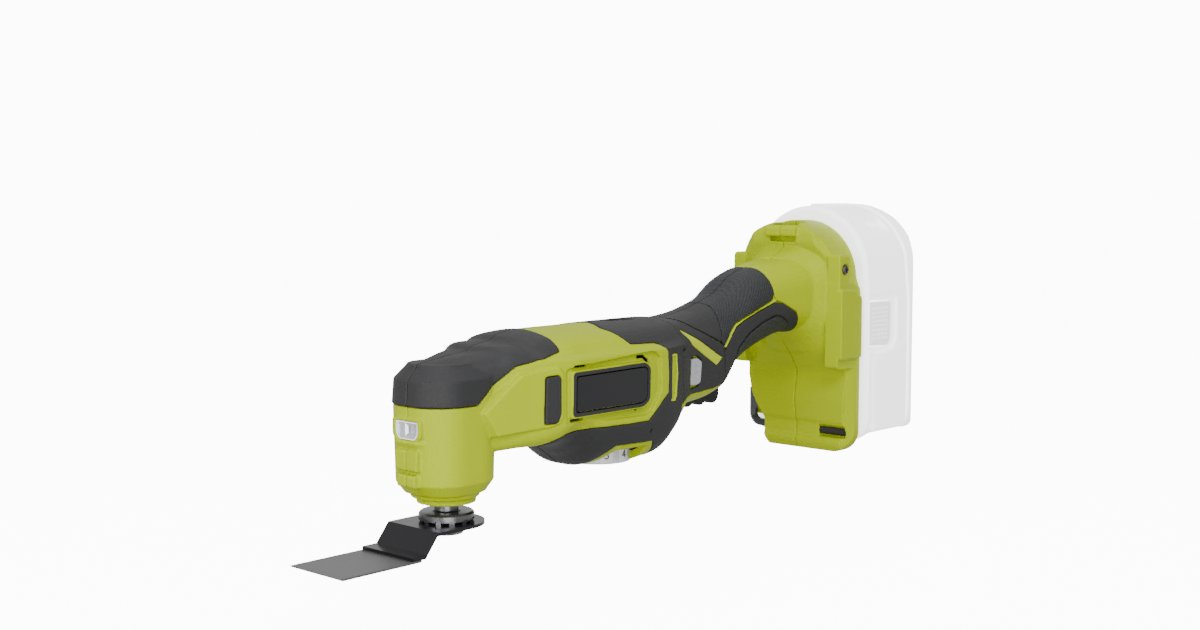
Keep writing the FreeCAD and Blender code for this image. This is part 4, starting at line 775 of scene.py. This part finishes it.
# Side pads beside the plates.
side_pads = combine(prism(filleted(grown(SIDE_PAD, -0.1), 1.0), "Y", -25.8, -32), "INTERSECT",
                    leaning_space(0.45))
both_sides(side_pads, "side_pad", "case", "soft_grey", 0.35, 2, 0.6)

# Lock button, from side to side.
lock = prism(filleted(LOCK_CAP, 1.0), "Y", -22.4, 22.4)
lock = combine(lock, "DIFFERENCE", *[prism(filleted([(137.4, z), (140.6, z), (140.6, z + 2.4),
                                                     (137.4, z + 2.4)], 0.7), "Y", *side)
                                     for z in (49.5, 52.6)
                                     for side in ((-30, -22.1), (22.1, 30))])
lock = soften(lock, 0.3, 2, 0.6)
show(lock, "lock_slide", "lock", "slide_grey", "lock_button")

drop(near_half)

# Foot screws, one in each pad, with a cross drive.
heads = None
for side in (-1, 1):
    head = round_bar(FOOT_SCREW, 2.5, "Y", side * 29, side * 34.1, 2.5)
    rim = round_bar(FOOT_SCREW, 2.5, "Y", side * 34.1, side * 34.6, 1.9)
    x, z = FOOT_SCREW
    outer = sorted((side * 33.4, side * 36))
    cross = [box((x - 1.6, x + 1.6), outer, (z - 0.42, z + 0.42)),
             box((x - 0.42, x + 0.42), outer, (z - 1.6, z + 1.6))]
    head = combine(combine(head, "UNION", rim), "DIFFERENCE", *cross)
    heads = head if heads is None else combine(heads, "UNION", head)
show(heads, "foot_screw_heads", "case", "screw_steel", "foot_screws")

# Case screws with cross drives, heads on the far side.
screws = []
for x, z in SCREW_PLACES:
    if z < 24:
        x, z = x + 6, z + 1.5
    body = combine(round_bar((x, z), 1.5, "Y", -12, 13, None, 24), "UNION",
                   round_bar((x, z), 2.8, "Y", 12, 14.2, None, 32))
    cross = [box((x - 1.7, x + 1.7), (13.2, 16), (z - 0.45, z + 0.45)),
             box((x - 0.45, x + 0.45), (13.2, 16), (z - 1.7, z + 1.7))]
    screws.append(combine(body, "DIFFERENCE", *cross))
show(joined(screws), "case_screw_set", "case", "screw_steel", "case_screws")

# Lamp: white bezel, faceted reflector, and a clear front with cut lower corners.
LAMP = [(-6.7, 44.0), (6.7, 44.0), (6.7, 38.9), (4.6, 36.6), (-4.6, 36.6), (-6.7, 38.9)]
bezel = combine(prism(LAMP, "X", -21.2, -17.6), "DIFFERENCE",
                prism(grown(LAMP, -0.45), "X", -22, -17.0))
show(bezel, "lamp_bezel", "case", "bezel_white")
bowl = prism(grown(LAMP, -0.4), "X", -20.3, -17.9)
bowl = combine(bowl, "DIFFERENCE",
               *[prism([(y - w, 37.2), (y + w, 37.2), (y + w, 43.6), (y - w, 43.6)], "X", -21, -18.4,
                       [(y - 0.5, 39.6), (y + 0.5, 39.6), (y + 0.5, 41.2), (y - 0.5, 41.2)])
                 for y, w in ((-4.3, 1.75), (0, 2.1), (4.3, 1.75))])
show(bowl, "lamp_reflector", "case", "reflector")
pane = prism(grown(LAMP, -0.5), "X", -21.0, -20.5)
show(pane, "lamp_pane", "case", "clear_lens", "lamp_lens")

# Speed dial with ribs and numbers round its rim.
disc = combine(round_bar(DIAL_AT, DIAL_R - 0.5, "Z", DIAL_LOW, DIAL_LOW + 0.5, DIAL_R, 120), "UNION",
               round_bar(DIAL_AT, DIAL_R, "Z", DIAL_LOW + 0.5, DIAL_TOP, None, 120))
NUMBERS = {"1": [(-0.5, 1.1), (0.1, 1.6), (0.1, -1.6)],
           "2": [(-0.9, 1.1), (-0.4, 1.6), (0.5, 1.6), (0.9, 1.1), (0.9, 0.5), (-0.9, -1.6),
                 (0.9, -1.6)],
           "3": [(-0.9, 1.6), (0.8, 1.6), (0, 0.3), (0.6, 0.1), (0.9, -0.6), (0.5, -1.4),
                 (-0.2, -1.6), (-0.9, -1.2)],
           "4": [(0.5, -1.6), (0.5, 1.6), (-1, -0.7), (1, -0.7)],
           "5": [(0.8, 1.6), (-0.7, 1.6), (-0.8, 0.2), (0.3, 0.3), (0.9, -0.4), (0.5, -1.3),
                 (-0.1, -1.6), (-0.9, -1.3)],
           "6": [(0.5, 1.6), (-0.5, 0.6), (-0.9, -0.6), (-0.5, -1.4), (0.3, -1.6), (0.9, -0.9),
                 (0.5, -0.1), (-0.5, -0.1)]}
NUMBER_STEP = math.radians(34.5)
FIRST_NUMBER = math.radians(-190.0)
NUMBER_RISE = 0.7


def rim_spot(angle, along, up, radius):
    """A point on the dial's rim, some way along it from an angle and some way up."""
    turn = angle + along / DIAL_R
    return (DIAL_AT[0] + radius * math.cos(turn), DIAL_AT[1] + radius * math.sin(turn),
            (DIAL_LOW + DIAL_TOP) / 2 + up)


def rim_block(angle, corners, inner, outer):
    """A small solid on the rim, from its corners across and up."""
    points = [rim_spot(angle, u, v, r) for r in (inner, outer) for u, v in corners]
    n = len(corners)
    return solid("rim_block", points, [tuple(range(n)), tuple(range(n, 2 * n))]
                 + [(i, (i + 1) % n, n + (i + 1) % n, n + i) for i in range(n)])


notches, strokes = [], []
for place, line in enumerate(NUMBERS.values()):
    angle = FIRST_NUMBER + NUMBER_STEP * place
    for start, stop in zip(line, line[1:]):
        start, stop = (Vector((u, v + NUMBER_RISE)) for u, v in (start, stop))
        along = stop - start
        side = Vector((-along.y, along.x)).normalized() * 0.24
        tip = along.normalized() * 0.2
        strokes.append(rim_block(angle, [tuple(start - tip - side), tuple(stop + tip - side),
                                         tuple(stop + tip + side), tuple(start - tip + side)],
                                 DIAL_R - 0.25, DIAL_R + 0.12))
    for offset in (-1.15, 0, 1.15):
        middle = angle + NUMBER_STEP / 2 + offset / DIAL_R
        notches.append(rim_block(middle, [(-0.32, -5), (0.32, -5), (0.32, 5), (-0.32, 5)],
                                 DIAL_R - 0.8, DIAL_R + 1))
disc = combine(disc, "DIFFERENCE", *notches)
show(disc, "dial_disc", "dial", "dial_silver", "speed_dial")
show(joined(strokes), "dial_numbers", "dial", "ink")

# Tool flange on the spindle: chamfered disc with notches, and its neck.
TURNED = [(5.1, 8.6), (5.1, 4.6), (6.4, 4.2), (10.9, 4.2), (11.7, 3.4), (11.7, 1.0), (11.1, 0.2),
          (9.4, -0.6), (5.2, -0.6)]
COUNT = 96
flange = loft("flange", [[(r * math.cos(2 * math.pi * i / COUNT), r * math.sin(2 * math.pi * i / COUNT),
                           z) for i in range(COUNT)] for r, z in TURNED])
flange_cuts = []
for place in range(12):
    turn = Matrix.Rotation(2 * math.pi * place / 12, 4, "Z")
    slot = box((10.7, 14), (-1.2, 1.2), (-1.5, 1.8))
    slot.data.transform(turn)
    flange_cuts.append(slot)
flange = combine(flange, "DIFFERENCE", *flange_cuts, round_bar((0, 0), 4.9, "Z", -2, 10))
show(flange, "flange_disc", "spindle", "bright_steel", "tool_flange")

# Side plates: a blank glossy face inside a thin grey frame.
for name, sign in (("left", -1), ("right", 1)):
    face = prism(filleted(grown(PLATE, -1.3), 1.4), "Y", sign * 28.9, sign * 31.2,
                 filleted(grown(PLATE, -1.8), 1.2))
    rim = combine(prism(filleted(grown(PLATE, 0.35), 1.8), "Y", sign * 28.9, sign * 31.3),
                  "DIFFERENCE", prism(filleted(grown(PLATE, -1.15), 1.4), "Y", sign * 28, sign * 33))
    show(face, name + "_plate_face", "case", "plate_black", name + "_side_plate")
    show(rim, name + "_plate_frame", "case", "soft_grey")

# Battery: front case with its plug, and rear case with a proud rim.
SEAT_X, SPLIT_X, REAR_X = 262.3, 302.0, 313.0
PACK_PROFILE = [(SEAT_X, 7.4), (REAR_X - 4, 7.4), (REAR_X - 0.6, 11), (REAR_X - 0.6, 122),
                (REAR_X - 5, 133), (SEAT_X, 133)]
PACK_PLAN = [(300, -40), (304, -39.3), (309.5, -37), (REAR_X - 0.6, -32), (REAR_X - 0.6, 32),
             (309.5, 37), (304, 39.3), (300, 40)]


LATCH_PAD = [(265.2, 55.4), (282.5, 54.6), (285.5, 58), (285.5, 78), (265.2, 78.4)]


def pack_layer(amount, start, stop):
    line = upright_outline(**PACK)
    return prism(grown(line, amount) if amount else line, "X", start, stop)


hull = combine(pack_layer(-1.6, SEAT_X, SEAT_X + 2), "UNION", pack_layer(0, SEAT_X + 1.6, SPLIT_X))
hull = combine(hull, "UNION", prism(section(-13, 13, 69.6, 93.4, 8, 8), "X", 214, SEAT_X + 1))
hull = combine(hull, "DIFFERENCE", pack_layer(-2.6, SEAT_X + 2.6, SPLIT_X + 1),
               prism(section(-10.4, 10.4, 72.2, 90.8, 2.5, 2.5), "X", 225.5, SEAT_X + 3),
               box((213, 223.5), (-9.5, 9.5), (78, 86)),
               across([(268, 0), (320, 0), (320, 8.4), (270, 7.6), (268, 5)]),
               combine(pack_layer(2, 266, 266.9), "DIFFERENCE", pack_layer(-0.55, 265.5, 267.4)),
               *[prism(filleted([(264, 52), (284, 50.5), (291, 57), (291.5, 80), (288, 82),
                                 (264, 81)], 1.5), "Y", side * 36.6, side * 42)
                 for side in (-1, 1)],
               *[prism([(side * 9, 140), (side * 31, 132), (side * 31, 113), (side * 22, 117.5)],
                       "X", 281, 297, [(side * 12, 138), (side * 29, 131), (side * 29, 114.6),
                                       (side * 22, 119)]) for side in (-1, 1)])
lower_step = [prism(filleted([(268.5, 9), (268.5, 47), (273, 51), (297, 54), (300.5, 58), (300.5, 9)],
                             2), "Y", side * 36, side * 38.9) for side in (-1, 1)]
ribs = [prism([(272 + 7 * k, 118), (275 + 7 * k, 118), (274.4 + 7 * k, 130.1),
               (272.6 + 7 * k, 130.1)], "Y", -6, 6) for k in range(4)]
hull = combine(hull, "UNION", *lower_step, *ribs)
hull = combine(hull, "UNION", *[prism(filleted(grown(LATCH_PAD, 2.4), 1.5), "Y", side * 32.0,
                                      side * 36.5) for side in (-1, 1)])
hull = combine(hull, "DIFFERENCE", *[prism(filleted(grown(LATCH_PAD, 0.55), 1.5), "Y",
                                           side * 33.15, side * 42) for side in (-1, 1)])
hull = soften(hull, 0.75, 2, 0.5)
show(hull, "pack_front", "battery", "pack_shell", "battery_front_case")
back = combine(pack_layer(0.7, SPLIT_X + 0.5, REAR_X), "INTERSECT",
               across(PACK_PROFILE), prism(PACK_PLAN, "Z", -40, 180))
back = combine(back, "DIFFERENCE", pack_layer(-2.2, SPLIT_X, REAR_X - 2.6),
               combine(pack_layer(3, 306.6, 307.5), "DIFFERENCE", pack_layer(0.1, 306, 308)))
back = soften(back, 0.75, 2, 0.5)
show(back, "pack_back", "battery", "pack_shell", "battery_rear_case")

# Latch buttons of the battery, with a grid of small studs.
for name, sign in (("left", -1), ("right", 1)):
    pad = prism(filleted(LATCH_PAD, 1.5), "Y", sign * 35.5, sign * 37.6)
    studs = [prism([(x, z), (x + 1.3, z), (x + 1.3, z + 1.3), (x, z + 1.3)], "Y", sign * 37.4,
                   sign * 38.1, [(x + 0.3, z + 0.3), (x + 1, z + 0.3), (x + 1, z + 1),
                                 (x + 0.3, z + 1)])
             for x in np.arange(267.5, 283, 2.3) for z in np.arange(58, 76, 2.3)]
    pad = combine(pad, "UNION", joined(studs))
    show(pad, name + "_latch_pad", "latch_" + name, "pack_grip", "battery_latch_" + name)

# Trigger with three finger bumps across it.
TRIGGER_FRONT, TRIGGER_REAR, TRIGGER_TOP = 147, 175.9, 43
BUMP_R, BUMP_Z, BUMP_XS = 4.6, 36.4, (151.6, 161.4, 171.2)
shoulder_z = BUMP_Z - 1.2
bumps = [(x + BUMP_R * math.cos(math.radians(a)), BUMP_Z + BUMP_R * math.sin(math.radians(a)))
         for x in BUMP_XS for a in range(-165, -14, 15)]
trigger = across([(TRIGGER_FRONT, TRIGGER_TOP), (TRIGGER_FRONT, shoulder_z)] + bumps
                 + [(TRIGGER_REAR, shoulder_z), (TRIGGER_REAR, TRIGGER_TOP)], 6.8)
trigger = combine(trigger, "DIFFERENCE", round_bar((161, 0), 3.9, "Z", 36.2, 44))
trigger = soften(trigger, 0.3, 4, 1)
show(trigger, "trigger_body", "trigger", "black_plastic", "trigger")


# ------------------------------------------------------------------ stage
def glow_of(name, colour, glow):
    """A matt white surface that shines, for the floor and the backdrop."""
    made = bpy.data.materials.new(name)
    made.use_nodes = True
    surface = made.node_tree.nodes["Principled BSDF"]
    surface.inputs["Base Color"].default_value = colour
    surface.inputs["Roughness"].default_value = 0.95
    surface.inputs["Specular IOR Level"].default_value = 0.0
    surface.inputs["Emission Color"].default_value = (1, 1, 1, 1)
    surface.inputs["Emission Strength"].default_value = glow
    return made


def stage_piece(name, mesh, look):
    """A pale surface that the camera sees, but that throws no light on the tool."""
    made = bpy.data.objects.new(name, mesh)
    bpy.context.scene.collection.objects.link(made)
    mesh.materials.append(look)
    made.visible_diffuse = False
    made.visible_glossy = False
    made.visible_transmission = False
    return made


ROOM_BELOW = 0.032              # the clamp screw and the accessory come off downwards
floor_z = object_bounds()[0][2] - ROOM_BELOW
REACH = 9.0
mesh = bpy.data.meshes.new("floor")
mesh.from_pydata([(-REACH, -REACH, floor_z), (REACH, -REACH, floor_z), (REACH, REACH, floor_z),
                  (-REACH, REACH, floor_z)], [], [(0, 1, 2, 3)])
stage_piece("floor", mesh, glow_of("pale_floor", (0.7, 0.7, 0.7, 1), 11.0))
work = bmesh.new()
bmesh.ops.create_icosphere(work, subdivisions=5, radius=REACH)
mesh = bpy.data.meshes.new("backdrop")
work.to_mesh(mesh)
work.free()
backdrop = stage_piece("backdrop", mesh, glow_of("pale_backdrop", (0, 0, 0, 1), 12.0))
backdrop.visible_shadow = False

world = bpy.data.worlds.new("studio")
world.use_nodes = True
world.node_tree.nodes["Background"].inputs["Color"].default_value = (1, 1, 1, 1)
world.node_tree.nodes["Background"].inputs["Strength"].default_value = 0.9
bpy.context.scene.world = world


def lamp(name, place, aim, size, power):
    """A soft rectangular light that points at a place."""
    data = bpy.data.lights.new(name, "AREA")
    data.shape = "RECTANGLE"
    data.size, data.size_y = size
    data.energy = power
    made = bpy.data.objects.new(name, data)
    made.location = place
    made.rotation_euler = (Vector(aim) - Vector(place)).to_track_quat("-Z", "Y").to_euler()
    bpy.context.scene.collection.objects.link(made)
    return made


CENTRE = (0.13, 0.0, 0.06)
lamp("key", (-0.35, -0.75, 0.85), CENTRE, (0.7, 0.5), 10)
lamp("top", (0.15, 0.1, 1.1), CENTRE, (1.2, 0.8), 7)
lamp("front", (-0.9, -0.1, 0.25), (0, 0, 0.04), (0.5, 0.6), 8.0)
lamp("fill", (-0.35, -0.55, 0.02), (0.2, 0, 0.05), (0.5, 0.3), 4.0)

lens = bpy.data.cameras.new("view")
lens.sensor_width = 36
lens.lens = 45.33
camera = bpy.data.objects.new("view", lens)
camera.location = (-0.417, -0.4683, 0.1387)
camera.rotation_euler = (math.radians(90 - 4.82), 0, math.radians(-47.57))
bpy.context.scene.collection.objects.link(camera)
bpy.context.scene.camera = camera
